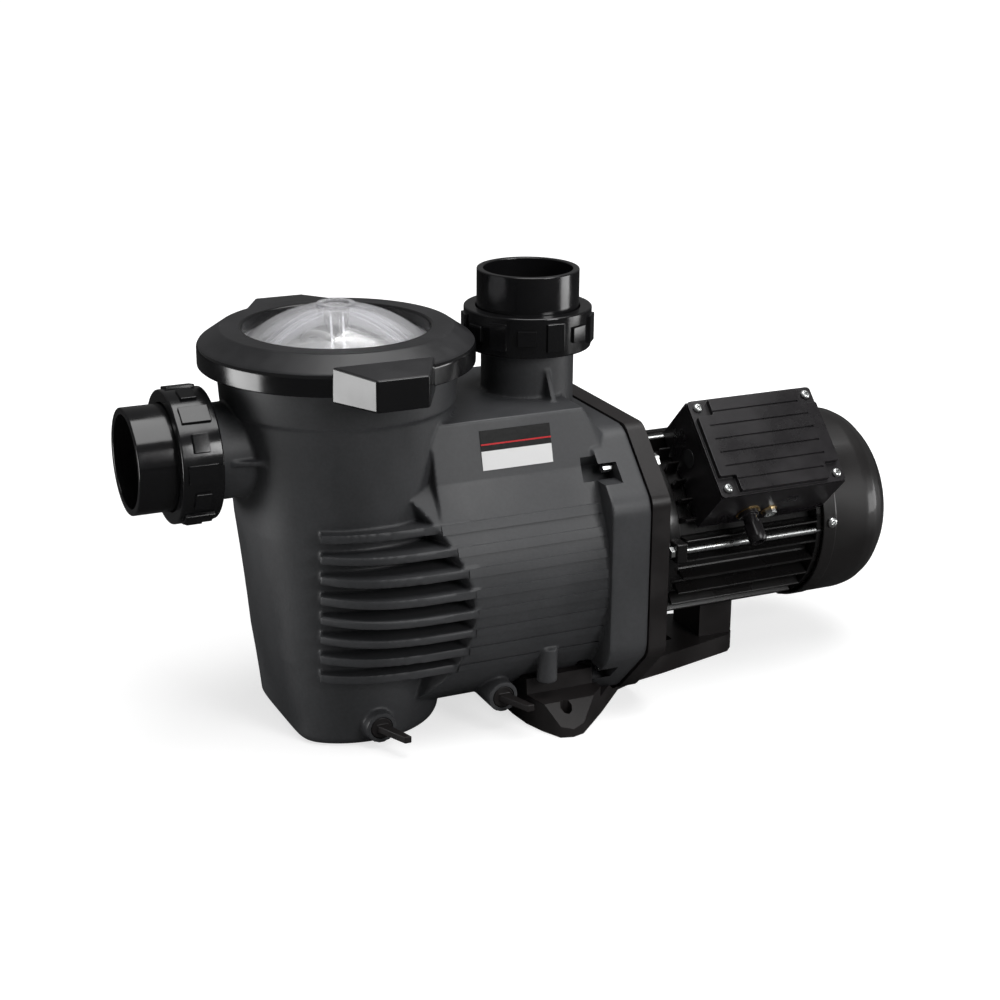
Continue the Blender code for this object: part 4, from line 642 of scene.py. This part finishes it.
# %% [markdown]
# Two necks carry the unions, two bosses take the drain plugs, two short posts stand low beside the
# drum, and a gusset and a small fin stiffen the necks, as on most moulded pumps.

# %% Necks, bosses and gussets
SUCTION = at(-95.0, 0, 204.0, AGAINST_X)
DISCHARGE = at(143.6, 0, 255.3)
TANK_DRAIN = at(0, -76, 15, TOWARDS_NEAR)
VOLUTE_DRAIN = at(88, -85, 26, TOWARDS_NEAR)
NECK_R, COLLAR_R, COLLAR_TOP, NECK_CORE_R = 33, 38, 17, 15
BOSS_R, POST_R = 11.0, 7.2


def neck(name, where, reach):
    outline = [(NECK_CORE_R, -reach), (NECK_R, -reach), (NECK_R, 2), (COLLAR_R, 2),
               (COLLAR_R, COLLAR_TOP), (NECK_CORE_R, COLLAR_TOP)]
    return turn_piece(name, outline, where, 96)


necks = [neck("suction_neck", SUCTION, 38.0), neck("discharge_neck", DISCHARGE, 42.0)]
gusset = slab_piece("gusset", [(-47, 221), (-20, 221), (-20, 246), (-32.4, 246)], 141.6, 145.4,
                    SECTION)
neck_fin = slab_piece("neck_fin", [(-87, -33.5), (-70, -40), (-60, -45), (-60, -20), (-87, -20)],
                      202.4, 205.6)
bosses = [rod_piece("tank_boss", BOSS_R, -24.0, 0.0, TANK_DRAIN),
          rod_piece("volute_boss", BOSS_R, -35.0, 0.0, VOLUTE_DRAIN),
          rod_piece("near_post", POST_R, 34.3, 60.0, at(120, -88, 0)),
          rod_piece("far_post", POST_R, 34.3, 60.0, at(120, 88, 0))]
print("necks:", len(necks), "bosses:", len(bosses))

# %% [markdown]
# All these solids overlap, so one voxel remesh joins them, and a light smoothing gives the radii. The
# bands stay out of it, because their edges are lower than a voxel can hold.

# %% One skin for the moulding
VOXEL = 1.1 * MM

body = merged("pump_moulding",
              [tank, drum, shoulder, flange, gusset, neck_fin, *ribs, *necks, *bosses])
skin = body.modifiers.new("skin", "REMESH")
skin.mode = "VOXEL"
skin.voxel_size = VOXEL
smooth = body.modifiers.new("mould_radii", "SMOOTH")
smooth.factor = 0.5
smooth.iterations = 2
apply_modifiers(body)
print("skin faces:", len(body.data.polygons))

# %% [markdown]
# The bands are joined and the inside is cut last, with crisp edges, because sealing faces and bores
# are sharp on the real part: the tank, the chamber round the impeller, both ports, the lid's seal
# groove, the bolt pockets and the drain holes.

# %% Hollows, grooves and bolt pockets
PORT_R = 27.0
BOLT_OFFSET, POCKET_X, POCKET_DEEP = 75.0, 150.0, 24.0

cutters = [tank_cavity,
           rod_piece("mouth", 76.0, 252.0, 270.0, UPRIGHT, 128),
           turn_piece("lid_groove", [(79.2, 264.2), (83.6, 264.2), (83.6, 269), (79.2, 269)]),
           rod_piece("eye", 26.0, 55.0, 84.0, MOTOR_AXIS, 64),
           rod_piece("chamber", 92.0, 80.0, 192.0, MOTOR_AXIS, 128),
           rod_piece("suction_bore", PORT_R, -45.0, 18.0, SUCTION, 96),
           rod_piece("discharge_bore", PORT_R, -69.0, 18.0, DISCHARGE, 96)]
for sign in (-1, 1):
    low, high = sorted((0.0, 30.0 * sign))
    for level in (-1, 1):
        corner = at(POCKET_X, BOLT_OFFSET * sign, AXIS_Z + BOLT_OFFSET * level)
        tilt = Matrix.Rotation(math.radians(45.0 * sign * level), 4, "X")
        cutters.append(brick_piece("pocket", (0, -8, -8), (POCKET_DEEP, 8, 8), corner @ tilt))
        cutters.append(brick_piece("pocket_mouth", (0, low, -6), (POCKET_DEEP, high, 6), corner))
drain_hole = [(0, -22), (6.2, -22), (6.2, -8.3), (8.1, -8.3), (8.1, 1), (0, 1)]
for where in (TANK_DRAIN, VOLUTE_DRAIN):
    cutters.append(turn_piece("drain_hole", drain_hole, where, 48, closed=False))
boolean(body, "UNION", bands)
boolean(body, "DIFFERENCE", cutters)
dress(body, "pump", "pump_body_plastic", CHARCOAL, nodes=["pump_body"], angle=42.0)

# %% [markdown]
# ## Locking ring
# The ring that pulls the lid down is a gloss moulding whose top has been textured satin, with two
# lobes for the hands. Its outline is turned with eased corners; the lobes are blocks with one end cut
# at a slant, which is the face that flashes white in a studio.

# %% The ring and its lobes
LOBE_ROOT, LOBE_TIP, LOBE_ROOT_HALF, LOBE_TIP_HALF = 87.5, 122.0, 36.0, 18.0
LOBE_LOW, LOBE_HIGH, LOBE_FALL, LOBE_DRAFT = 254.5, 278.5, 2.2, 0.6
RING_INSIDE_R = 88.6

ring_outline = eased([(64.1, 282.2), (65.4, 283.0), (79.5, 283.0), (93.4, 273.4), (94.8, 271.0),
                      (94.8, 258.0), (88.0, 258.0), (88.0, 273.6), (64.1, 273.6)], 1.1, closed=True)
lock_ring = turn_piece("locking_ring_moulding", ring_outline, sides=192)


def lobe_ring(side, draft, root_z, tip_z):
    root_x, tip_y = LOBE_ROOT_HALF - draft, LOBE_TIP - draft * 0.3
    points = [(-root_x, LOBE_ROOT, root_z), (-LOBE_TIP_HALF, tip_y, tip_z),
              (LOBE_TIP_HALF, tip_y, tip_z), (root_x, LOBE_ROOT, root_z)]
    return [(x, side * y, z) for x, y, z in points[::side]]


def lobe(side):
    """A hand lobe: wide at its root, narrow at its tip, its top falling a little outwards."""
    low = lobe_ring(side, 0.0, LOBE_LOW, LOBE_LOW)
    high = lobe_ring(side, LOBE_DRAFT, LOBE_HIGH, LOBE_HIGH - LOBE_FALL)
    return soften_edges(loft_piece("lobe", [low, high]), 1.6)


lobes = [lobe(-1), lobe(1)]
for made in lobes:
    inside = rod_piece("clear_of_rim", RING_INSIDE_R, 250.0, 285.0, UPRIGHT, 192)
    boolean(made, "DIFFERENCE", [inside])
boolean(lock_ring, "UNION", lobes)
dress(lock_ring, "locking_ring", "gloss_black_plastic", GLOSS, RING_TOP, nodes=["lock_ring"],
      angle=24.0)
TOP_TILT, TOP_FROM_Z, TOP_FROM_R = 0.3, 272.2 * MM, 66.0
top_faces = 0
for face in lock_ring.data.polygons:
    reach = math.hypot(face.center.x, face.center.y) / MM
    if face.normal.z > TOP_TILT and face.center.z > TOP_FROM_Z and reach > TOP_FROM_R:
        face.material_index = 1
        top_faces += 1
print("satin faces on the ring:", top_faces)

# %% [markdown]
# ## Clear lid
# The lid is a shallow dome with a round boss in its middle and pairs of stiffening ribs that run out
# under it like spokes. Through clear plastic the ribs show as bright and dark lines, so they are real.

# %% The dome and its boss
LID_TOP = (297.0, 62.0, 273.3)
LID_UNDER = (293.0, 58.0, 268.9)
BOSS_OUTER_R, BOSS_TOP = 14.2, 298.2


def dome_z(radius, apex, low_r, low_z):
    """A ball's height at a radius, for a ball through its apex and one lower circle."""
    rise = apex - low_z
    ball = (low_r ** 2 + rise ** 2) / (2 * rise)
    return apex - ball + math.sqrt(ball ** 2 - radius ** 2)


def lid_outline():
    rim = [(85.0, 268.3), (85.0, 273.0), (64.0, 273.0)]
    down = [62.0 - 2.0 * step for step in range(24)]
    out = [12.0 + 2.0 * step for step in range(1, 24)]
    dome = [(radius, dome_z(radius, *LID_TOP)) for radius in down]
    boss = [(BOSS_OUTER_R, dome_z(BOSS_OUTER_R, *LID_TOP)), (13.0, BOSS_TOP), (9.0, BOSS_TOP),
            (8.0, 296.4), (0.0, 296.4)]
    under = [(0.0, 292.6), (12.0, 292.4)] + [(radius, dome_z(radius, *LID_UNDER)) for radius in out]
    return rim + dome + boss + under + [(58.2, 268.3)]


lens = turn_piece("clear_lid_moulding", lid_outline(), sides=160)
dress(lens, "lid", "clear_plastic", CLEAR, nodes=["lid_lens"], angle=30.0)

# %% [markdown]
# The ribs are thin plates in six pairs round the boss, and their top follows the dome's underside.

# %% The lid's ribs
SPOKE_TOP, SPOKE_FOOT = (292.9, 58.0, 268.6), (286.5, 58.0, 264.6)
SPOKE_EDGE = (286.5, 58.0, 266.0)
SPOKE_R, SPOKE_STEP, SPOKE_HALF, SPOKE_GAP, SPOKE_TURN = 12.5, 4.5, 0.7, 4.0, 0.2


def lid_spoke(angle, offset):
    radii = [SPOKE_R + SPOKE_STEP * step for step in range(1, 11)]
    outline = [(SPOKE_R, dome_z(SPOKE_R, *SPOKE_TOP)), (SPOKE_R, dome_z(SPOKE_R, *SPOKE_FOOT))]
    outline += [(radius, dome_z(radius, *SPOKE_EDGE)) for radius in radii]
    outline += [(radius, dome_z(radius, *SPOKE_TOP)) for radius in reversed(radii)]
    where = Matrix.Rotation(angle, 4, "Z") @ at(0, offset, 0) @ TOWARDS_NEAR
    return slab_piece("spoke", outline, -SPOKE_HALF, SPOKE_HALF, where)


spokes = [lid_spoke(math.tau * number / 6 + SPOKE_TURN, offset)
          for number in range(6) for offset in (-SPOKE_GAP, SPOKE_GAP)]
lid_ribs = merged("clear_lid_ribs", spokes)
dress(lid_ribs, "lid", "clear_plastic", CLEAR_RIB)

# %% [markdown]
# ## Strainer basket
# The basket shows through the lid and comes out when the lid is lifted. It is a thin white moulding,
# so it is turned with soft corners, then its slots and inlet are cut, and the bail is put on last.

# %% Basket, slots and bail
BAIL_R, BAIL_REACH, BAIL_RISE, BAIL_Z = 2.6, 69.0, 18.0, 252.8

basket_outline = eased([(0, 30.0), (44.0, 30.0), (65.0, 252.3), (75.0, 252.3), (75.0, 255.3),
                        (62.5, 255.3), (41.5, 32.5), (0, 32.5)], 1.0)
basket = turn_piece("basket_moulding", basket_outline, sides=128, closed=False)
slits = [brick_piece("slit", (-69.0, -4.5, 44.0), (69.0, 4.5, 167.0),
                     Matrix.Rotation(math.pi * (number + 0.5) / 6, 4, "Z")) for number in range(6)]
slits.append(rod_piece("basket_inlet", 25.0, 20.0, 75.0, at(0, 0, 204.0, AGAINST_X), 64))
boolean(basket, "DIFFERENCE", slits)


def bail_ring(sweep, sides=16):
    """A circle of the bail's wire, where it has swept so far over the basket's mouth."""
    ring = []
    for step in range(sides):
        turn = math.tau * step / sides
        out = BAIL_R * math.sin(turn)
        ring.append((BAIL_R * math.cos(turn), (BAIL_REACH + out) * math.cos(sweep),
                     BAIL_Z + (BAIL_RISE + out) * math.sin(sweep)))
    return ring


bail = loft_piece("bail", [bail_ring(math.pi * step / 32) for step in range(33)])
boolean(basket, "UNION", [bail])
dress(basket, "basket", "white_plastic", WHITE, nodes=["strainer_basket"], angle=30.0)

# %% [markdown]
# ## Pipe unions
# A union nut has raised rectangular grips all round, by turns tall and short, so that a strap wrench
# holds. They are thin blocks sunk in a turned body. The tail is a turned sleeve with an eased lip.

# %% Nuts and tails
GRIPS, GRIP_HALF, GRIP_INNER_R, GRIP_OUTER_R = 14, 6.6, 43.5, 46.9


def union_nut(port, where):
    outline = eased([(38.6, 0.0), (45.0, 0.0), (45.4, 28.5), (36.85, 28.5), (36.85, 23.2),
                     (38.6, 23.2)], 1.3, closed=True)
    nut = turn_piece(f"{port}_nut_moulding", outline, where, 160)
    grips = []
    for number in range(GRIPS):
        spin = Matrix.Rotation(math.tau * (number + 0.5) / GRIPS, 4, "Z")
        low, high = (4.5, 24.5) if number % 2 == 0 else (9.0, 20.0)
        grip = brick_piece("grip", (GRIP_INNER_R, -GRIP_HALF, low), (GRIP_OUTER_R, GRIP_HALF, high),
                           where @ spin)
        grips.append(soften_edges(grip, 0.7, segments=2))
    boolean(nut, "UNION", grips)
    dress(nut, f"{port}_nut", "gloss_black_plastic", GLOSS, nodes=[f"{port}_union_nut"])


def union_tail(port, where):
    outline = eased([(27.0, 17.3), (38.0, 17.3), (38.0, 22.1), (36.25, 22.1), (36.25, 55.0),
                     (31.6, 55.0), (31.6, 24.1), (27.0, 24.1)], 0.9, closed=True)
    tail = turn_piece(f"{port}_tail_moulding", outline, where, 160)
    dress(tail, "pump", "gloss_black_plastic", GLOSS, nodes=[f"{port}_union_tail"])


for make in (union_nut, union_tail):
    make("suction", SUCTION)
    make("discharge", DISCHARGE)

# %% [markdown]
# ## Plate, base, plugs and bolts
# These are angular pieces whose shape in the engineering model is right. A copy with welded points and
# bevelled edges is enough: the bevel is what turns a drawing's edge into a moulded one.

# %% Softened copies
dress(softened_copy("seal_plate", 1.2), "pump", "satin_black_plastic", SATIN, nodes=["seal_plate"])
dress(softened_copy("base", 1.6), "pump", "satin_black_plastic", SATIN, nodes=["base"])
for plug in ("tank", "volute"):
    node = f"{plug}_drain_plug"
    dress(softened_copy(node, 0.6), f"{plug}_plug", "satin_black_plastic", SATIN, nodes=[node])
for number in range(1, 5):
    node = f"casing_bolt_{number}"
    dress(softened_copy(node, 0.4), "pump", "zinc_steel", ZINC, nodes=[node])

# %% [markdown]
# ## Motor
# The motor's frame is a ribbed extrusion. Each fin leaves the tube with a small radius and ends in a
# rounded tip; along its length it simply stops. Two end shields clamp it with four long tie rods.

# %% Finned housing
HOUSING_R, FIN_R, CORE_R = 58.0, 69.0, 55.3
FINS, FIN_THICK = 28, 2.6


def fin_outline():
    foot, tip = FIN_THICK * 0.62 / HOUSING_R, FIN_THICK * 0.36 / FIN_R
    rising = [(HOUSING_R, foot * 1.5), (HOUSING_R + 0.8, foot), (FIN_R - 1.0, tip * 1.1),
              (FIN_R - 0.2, tip * 0.6)]
    stations = [(radius, -turn) for radius, turn in rising] + [(FIN_R, 0.0)] + rising[::-1]
    points = []
    for number in range(FINS):
        middle = math.tau * (number + 0.5) / FINS
        points += [(radius * math.cos(middle + turn), radius * math.sin(middle + turn))
                   for radius, turn in stations]
    return points


BOX_TILT = at(0, 0, AXIS_Z, Matrix.Rotation(math.radians(45), 4, "X"))
housing = slab_piece("finned_housing", fin_outline(), 241.3, 351.7, at(0, 0, AXIS_Z, SECTION))
boolean(housing, "DIFFERENCE", [rod_piece("core_bore", CORE_R, 235, 358, MOTOR_AXIS, 128),
                                brick_piece("box_space", (250, -36, 55.7), (358, 47, 90), BOX_TILT)])
dress(housing, "pump", "motor_paint", ENAMEL, nodes=["motor_housing"], angle=30.0)

# %% [markdown]
# The rear of the motor is a pressed steel cowl over the fan: a short cylinder with a rolled front band
# and a wide radius to its flat, slotted end.

# %% Fan cover
cover_outline = eased([(69.5, 356.5), (71.5, 356.5), (71.5, 367.0), (71.0, 367.6), (71.0, 396.0),
                       (69.6, 404.0), (65.4, 412.0), (58.0, 419.4), (50.0, 424.4), (42.0, 427.2),
                       (34.0, 428.0), (12.0, 428.0), (12.0, 426.2), (34.0, 426.2), (41.4, 425.4),
                       (49.0, 422.8), (56.6, 418.0), (63.6, 411.0), (67.6, 403.4), (69.0, 395.6)],
                      2.2, closed=True)
cover = turn_piece("fan_cowl", cover_outline, MOTOR_AXIS, 160)
slots = []
for number in range(8):
    spin = Matrix.Rotation(math.tau * number / 8, 4, "Z")
    slots.append(brick_piece("slot", (18.0, -4.0, 420.0), (41.0, 4.0, 432.0), MOTOR_AXIS @ spin))
boolean(cover, "DIFFERENCE", slots)
dress(cover, "pump", "motor_paint", COVER, nodes=["fan_cover"], angle=30.0)

# %% [markdown]
# The front end shield is a casting that joins motor and pump: a bell with a bearing seat inside, and
# four lugs for the tie rods.

# %% Front end shield
shield_outline = eased([(10.5, 204.6), (48.0, 204.6), (50.0, 212.6), (56.0, 218.6), (61.0, 232.7),
                        (61.0, 240.7), (53.0, 240.7), (49.0, 220.6), (25.3, 216.6), (25.3, 234.0),
                        (20.3, 234.0), (20.3, 224.0), (10.5, 224.0)], 1.6, closed=True)
shield = turn_piece("front_shield_casting", shield_outline, MOTOR_AXIS, 128)
lugs = []
for number in range(4):
    spin = Matrix.Rotation(math.radians(90.0 * number), 4, "Z")
    lug = brick_piece("lug", (56.0, -7.5, 231.7), (71.0, 7.5, 240.7), MOTOR_AXIS @ spin)
    lugs.append(soften_edges(lug, 1.4))
boolean(shield, "UNION", lugs)
dress(shield, "pump", "motor_paint", ENAMEL, nodes=["front_end_shield"], angle=30.0)

# %% [markdown]
# ## Terminal box
# The box is a plain moulding, tilted at 45 degrees so an electrician can reach it. Its lid has notched
# corners for the screws and six long grooves. On the end of the box sits a small moulded disc.

# %% Box and lid
box_piece = softened_copy("terminal_box", 0.9, "terminal_box_moulding")
dress(box_piece, "pump", "satin_black_plastic", BOX, nodes=["terminal_box"])

X0, X1, U0, U1, LID_N = 252.0, 356.0, -34.0, 45.0, 100.8
PLATE_INSET, NOTCH = 2.0, 13.0
GROOVES, GROOVE_PITCH, GROOVE_HALF = 6, 11.0, 0.65
SCREW_INSET = 6.5
SCREW_PLACES = [(x, u) for x in (X0 + SCREW_INSET, X1 - SCREW_INSET)
                for u in (U0 + SCREW_INSET, U1 - SCREW_INSET)]


def lid_plate_outline():
    """The raised plate, a rectangle with a square notch in each corner."""
    x0, x1, u0, u1 = X0 + PLATE_INSET, X1 - PLATE_INSET, U0 + PLATE_INSET, U1 - PLATE_INSET
    return [(x0 + NOTCH, u0), (x1 - NOTCH, u0), (x1 - NOTCH, u0 + NOTCH), (x1, u0 + NOTCH),
            (x1, u1 - NOTCH), (x1 - NOTCH, u1 - NOTCH), (x1 - NOTCH, u1), (x0 + NOTCH, u1),
            (x0 + NOTCH, u1 - NOTCH), (x0, u1 - NOTCH), (x0, u0 + NOTCH), (x0 + NOTCH, u0 + NOTCH)]


lid_edge = eased([(X0, U0), (X1, U0), (X1, U1), (X0, U1)], 3.0, closed=True)
lid_flange = slab_piece("box_lid_moulding", lid_edge, LID_N, LID_N + 2.0, BOX_TILT)
raised = slab_piece("raised", eased(lid_plate_outline(), 1.6, closed=True), LID_N + 1.0,
                    LID_N + 6.2, BOX_TILT)
boolean(lid_flange, "UNION", [raised])
soften_edges(lid_flange, 0.7, 40.0, 2)
cuts = []
for number in range(GROOVES):
    across = U1 - 12.5 - number * GROOVE_PITCH
    inset = 14.0 if number in (0, GROOVES - 1) else 9.0
    cuts.append(brick_piece("groove", (X0 + inset, across - GROOVE_HALF, LID_N + 5.2),
                            (X1 - inset - 3, across + GROOVE_HALF, LID_N + 8), BOX_TILT))
for x, u in SCREW_PLACES:
    cuts.append(rod_piece("screw_hole", 2.4, LID_N - 2, LID_N + 5, BOX_TILT @ at(x, u, 0), 24))
boolean(lid_flange, "DIFFERENCE", cuts)
dress(lid_flange, "pump", "satin_black_plastic", BOX, nodes=["terminal_box_lid"], angle=30.0)

disc = turn_piece("blank_disc", eased([(0, 0), (7.0, 0), (7.0, 0.7), (0, 0.7)], 0.3),
                  BOX_TILT @ at(X0, 10.7, 79.1, AGAINST_X), 64, closed=False)
dress(disc, "pump", "satin_black_plastic", RING_TOP)

# %% [markdown]
# ## Screws, rods and washers
# A pan-head screw is a turned dome with a drive recess. The recess is what says "screw" from across a
# room, so every visible screw gets one, and the eased rim of its head catches the light.

# %% Pan-head screws
SHANK_R, ARM_REACH, ARM_HALF, ARM_DEEP, ARM_TURN = 2.0, 1.9, 0.45, 1.2, 0.4
QUARTERS = (0, 90, 180, 270)


def pan_screw(name, node, where, radius=3.6, height=2.4, shank=14.0):
    head = eased([(0, -shank), (SHANK_R, -shank), (SHANK_R, 0), (radius, 0), (radius, height * 0.45),
                  (radius * 0.62, height), (0, height)], 0.7)
    screw = turn_piece(name, head, where, 40, closed=False)
    arms = [brick_piece("arm", (-ARM_REACH, -ARM_HALF, height - ARM_DEEP),
                        (ARM_REACH, ARM_HALF, height + 1), where @ Matrix.Rotation(turn, 4, "Z"))
            for turn in (ARM_TURN, ARM_TURN + math.pi / 2)]
    boolean(screw, "DIFFERENCE", arms)
    dress(screw, "pump", "zinc_steel", ZINC, nodes=[node], angle=30.0)


for number, (x, u) in enumerate(SCREW_PLACES, 1):
    pan_screw(f"box_screw_{number}", f"lid_screw_{number}", BOX_TILT @ at(x, u, LID_N + 2.3))
for number, angle in enumerate(QUARTERS, 1):
    spin = Matrix.Rotation(math.radians(-(angle + 5.0) + 90.0), 4, "X")
    radial = at(0, 0, AXIS_Z) @ spin @ at(363.5, 0, 71.8)
    pan_screw(f"cowl_screw_{number}", f"cover_screw_{number}", radial, 4.0, 2.3, 6.5)

# %% [markdown]
# Tie rods, the gland, its nut and the earth screw are close to their real shape already. Round ones are
# turned again with more sides; the gland nut is given its six flats.

# %% Tie rods, gland and earth screw
ROD_CIRCLE_R, ROD_R, ROD_NUT_R = 65.5, 2.5, 4.5
NUT_FRONT, ROD_FRONT, ROD_REAR = 227.9, 231.4, 359.0
CORD_R, GLAND_R = 3.6, 7.6

for number, angle in enumerate(QUARTERS, 1):
    turn = math.radians(angle)
    where = at(0, -ROD_CIRCLE_R * math.cos(turn), AXIS_Z + ROD_CIRCLE_R * math.sin(turn), ALONG_X)
    name = f"tie_rod_{number}_bright"
    rod = rod_piece(name, ROD_R, ROD_FRONT, ROD_REAR, where, 32)
    nut = slab_piece("nut", hexagon(ROD_NUT_R), NUT_FRONT, ROD_FRONT, where)
    both = merged(name, [rod, soften_edges(nut, 0.4)])
    dress(both, "pump", "zinc_steel", ZINC, nodes=[f"tie_rod_{number}"])

gland_at = BOX_TILT @ at(288.0, -34.3, 70.0, TOWARDS_NEAR)
gland_outline = eased([(CORD_R, -8), (5.6, -8), (5.6, 0), (GLAND_R, 0), (GLAND_R, 3), (5.4, 3),
                       (5.4, 20), (CORD_R, 20)], 0.4, closed=True)
gland_body = turn_piece("gland_body", gland_outline, gland_at, 48)
dress(gland_body, "pump", "satin_black_plastic", BOX, nodes=["cable_gland"])
flats = eased(hexagon(GLAND_R), 1.6, closed=True)
clamp_nut = slab_piece("gland_clamp_nut", flats, 10.0, 20.5, gland_at)
crown = turn_piece("crown", [(CORD_R, 19), (7.0, 19), (6.6, 22.0), (5.4, 24.0), (CORD_R, 24.0)],
                   gland_at, 48)
boolean(clamp_nut, "UNION", [crown])
boolean(clamp_nut, "DIFFERENCE", [rod_piece("gland_hole", CORD_R, 20.6, 26, gland_at, 32),
                                  rod_piece("gland_thread", 5.9, 8, 20.4, gland_at, 32)])
dress(clamp_nut, "pump", "satin_black_plastic", BOX, nodes=["cable_gland_nut"])

earth_at = BOX_TILT @ at(306.0, -34.3, 69.0, TOWARDS_NEAR)
dress(softened_copy("ground_screw", 0.5), "pump", "zinc_steel", ZINC, nodes=["ground_screw"])
for name, where, outer, inner in (("earth_washer", earth_at, 6.4, 2.3),
                                  ("gland_washer", gland_at, 9.4, 7.7)):
    washer = turn_piece(name, [(inner, -0.15), (outer, -0.15), (outer, 0.2), (inner, 0.2)], where, 48)
    dress(washer, "pump", "zinc_steel", YELLOW_ZINC)

# %% [markdown]
# ## Blank rating label
# The casing's shoulder carries a printed label. Here it is kept blank: a black panel, a red line and a
# white panel, each a thin film on the sloping side, with no lettering.

# %% The label
LABEL_X0, LABEL_X1, FILM_THICK = 76.6, 129.2, 0.25


def film(name, down0, down1, color, lift):
    """A thin panel on the shoulder's near side; down is measured along the slope from its top."""
    finish = Finish(name + "_print", color, 0.35, Specular_IOR_Level=0.15)
    speck = finish.noise(400.0, 2.0)
    finish.feed("Roughness", finish.ramp(speck, 0.3, 0.7, 0.3, 0.42))
    top = Vector((0, -SHOULDER_TOP_Y, SHOULDER_TOP_Z))
    slope = (Vector((0, -SHOULDER_CREASE_Y, SHOULDER_CREASE_Z)) - top).normalized()
    outward = Vector((0, slope.z, -slope.y))
    corners = [(LABEL_X0, down0), (LABEL_X1, down0), (LABEL_X1, down1), (LABEL_X0, down1)]
    rings = [[Vector((x, 0, 0)) + top + slope * down + outward * height for x, down in corners]
             for height in (lift, lift + FILM_THICK)]
    dress(loft_piece(name, rings), "pump", "pump_body_plastic", finish.material)


film("label_black", 7.3, 21.4, (0.004, 0.004, 0.004), 0.25)
film("label_red", 16.4, 17.4, (0.5, 0.015, 0.02), 0.6)
film("label_white", 21.4, 34.4, (0.7, 0.7, 0.7), 0.25)

# %% [markdown]
# ## Everything that stays
# The pieces that keep their engineering shape are small or inside. They still get a real finish, since
# a lifted lid or a turned pump shows them.

# %% Finishes for the remaining nodes
KEPT = {
    "impeller": WHITE, "terminal_block": WHITE, "diffuser": SATIN, "cooling_fan": SATIN,
    "rear_end_shield": ENAMEL, "stator_core": STEEL, "rotor_core": STEEL, "motor_shaft": STEEL,
    "front_bearing": STEEL, "rear_bearing": STEEL, "stator_winding": COPPER, "run_capacitor": CAN,
    "seal_head": CARBON, "seal_seat": CERAMIC, "base_screw_near": ZINC, "base_screw_far": ZINC,
    "casing_o_ring": RUBBER, "lid_o_ring": RUBBER, "suction_o_ring": RUBBER,
    "discharge_o_ring": RUBBER, "tank_drain_o_ring": RUBBER, "volute_drain_o_ring": RUBBER,
}
for node, material in KEPT.items():
    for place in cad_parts[node].material_slots:
        place.material = material
print("kept nodes:", len(KEPT))

# %% [markdown]
# ## Studio
# A pale floor, a white surround that the camera and the clear lid see, and four soft boxes. Black
# plastic is drawn by what it reflects, so floor and surround are dark to reflections. The floor also
# glows a little to the camera, more with distance, so that it fades into the white surround.

# %% Floor
FLOOR_GREY, FLOOR_MIRRORED, FLOOR_GLOW = (0.5,) * 3, (0.06,) * 3, (0.68,) * 3
BLACK, FULL_WHITE = (0.0,) * 3, (1.0,) * 3
FLOOR_DROP, FADE_FROM, FADE_TO = 0.0005, 0.35, 0.9

work = bmesh.new()
bmesh.ops.create_grid(work, x_segments=1, y_segments=1, size=6.0)
floor = mesh_piece("floor", work)
floor.location.z = -FLOOR_DROP
paper = Finish("floor_paper", FLOOR_GREY, 0.9, Specular_IOR_Level=0.0, Emission_Strength=1.0)
seen = paper.add("ShaderNodeLightPath", out="Is Camera Ray")
mirrored = paper.add("ShaderNodeLightPath", out="Is Glossy Ray")
paper.feed("Base Color", paper.mix(mirrored, FLOOR_GREY, FLOOR_MIRRORED))
away = paper.add("ShaderNodeVectorMath", {"operation": "LENGTH"}, {0: paper.position()}, out="Value")
glow = paper.mix(paper.ramp(away, FADE_FROM, FADE_TO), FLOOR_GLOW, FULL_WHITE)
paper.feed("Emission Color", paper.mix(seen, BLACK, glow))
floor.data.materials.append(paper.material)
print("floor faces:", len(floor.data.polygons))

# %% [markdown]
# The surround is white to the camera and through the clear lid, and dark to every other ray. The soft
# boxes stand where their own reflections run along the ring's lobe, the nuts and the cowl.

# %% White surround and lamps
SURROUND_DARK, SURROUND_WHITE = 0.13, 1.0
PUMP_MIDDLE = (0.12, 0.0, 0.13)

world = bpy.data.worlds.new("studio")
bpy.context.scene.world = world
world.use_nodes = True
tree = world.node_tree
background = tree.nodes["Background"]
path = tree.nodes.new("ShaderNodeLightPath")
open_ray = tree.nodes.new("ShaderNodeMath")
open_ray.operation = "MAXIMUM"
tree.links.new(path.outputs["Is Camera Ray"], open_ray.inputs[0])
tree.links.new(path.outputs["Is Transmission Ray"], open_ray.inputs[1])
level = tree.nodes.new("ShaderNodeMapRange")
level.inputs["To Min"].default_value = SURROUND_DARK
level.inputs["To Max"].default_value = SURROUND_WHITE
tree.links.new(open_ray.outputs[0], level.inputs["Value"])
tree.links.new(level.outputs["Result"], background.inputs["Strength"])
background.inputs["Color"].default_value = (1, 1, 1, 1)


def soft_box(name, place, size, watts, look=PUMP_MIDDLE):
    lamp = bpy.data.objects.new(name, bpy.data.lights.new(name, "AREA"))
    bpy.context.scene.collection.objects.link(lamp)
    lamp.data.shape = "RECTANGLE"
    lamp.data.size, lamp.data.size_y = size
    lamp.data.energy = watts
    lamp.location = place
    lamp.rotation_euler = (Vector(look) - Vector(place)).to_track_quat("-Z", "Y").to_euler()


soft_box("top_box", (0.3, -0.2, 1.6), (1.5, 1.2), 25.0)
soft_box("left_box", (-0.74, 0.09, 0.1), (0.42, 0.26), 3.2, look=(-0.03, -0.1, 0.27))
soft_box("right_box", (0.8, -1.75, 0.95), (0.7, 0.7), 15.0)
soft_box("low_box", (1.15, -0.45, 0.12), (0.5, 0.3), 3.0, look=(0.4, 0.0, 0.1))
bpy.context.scene.view_settings.view_transform = "Standard"
print("lamps: 4")
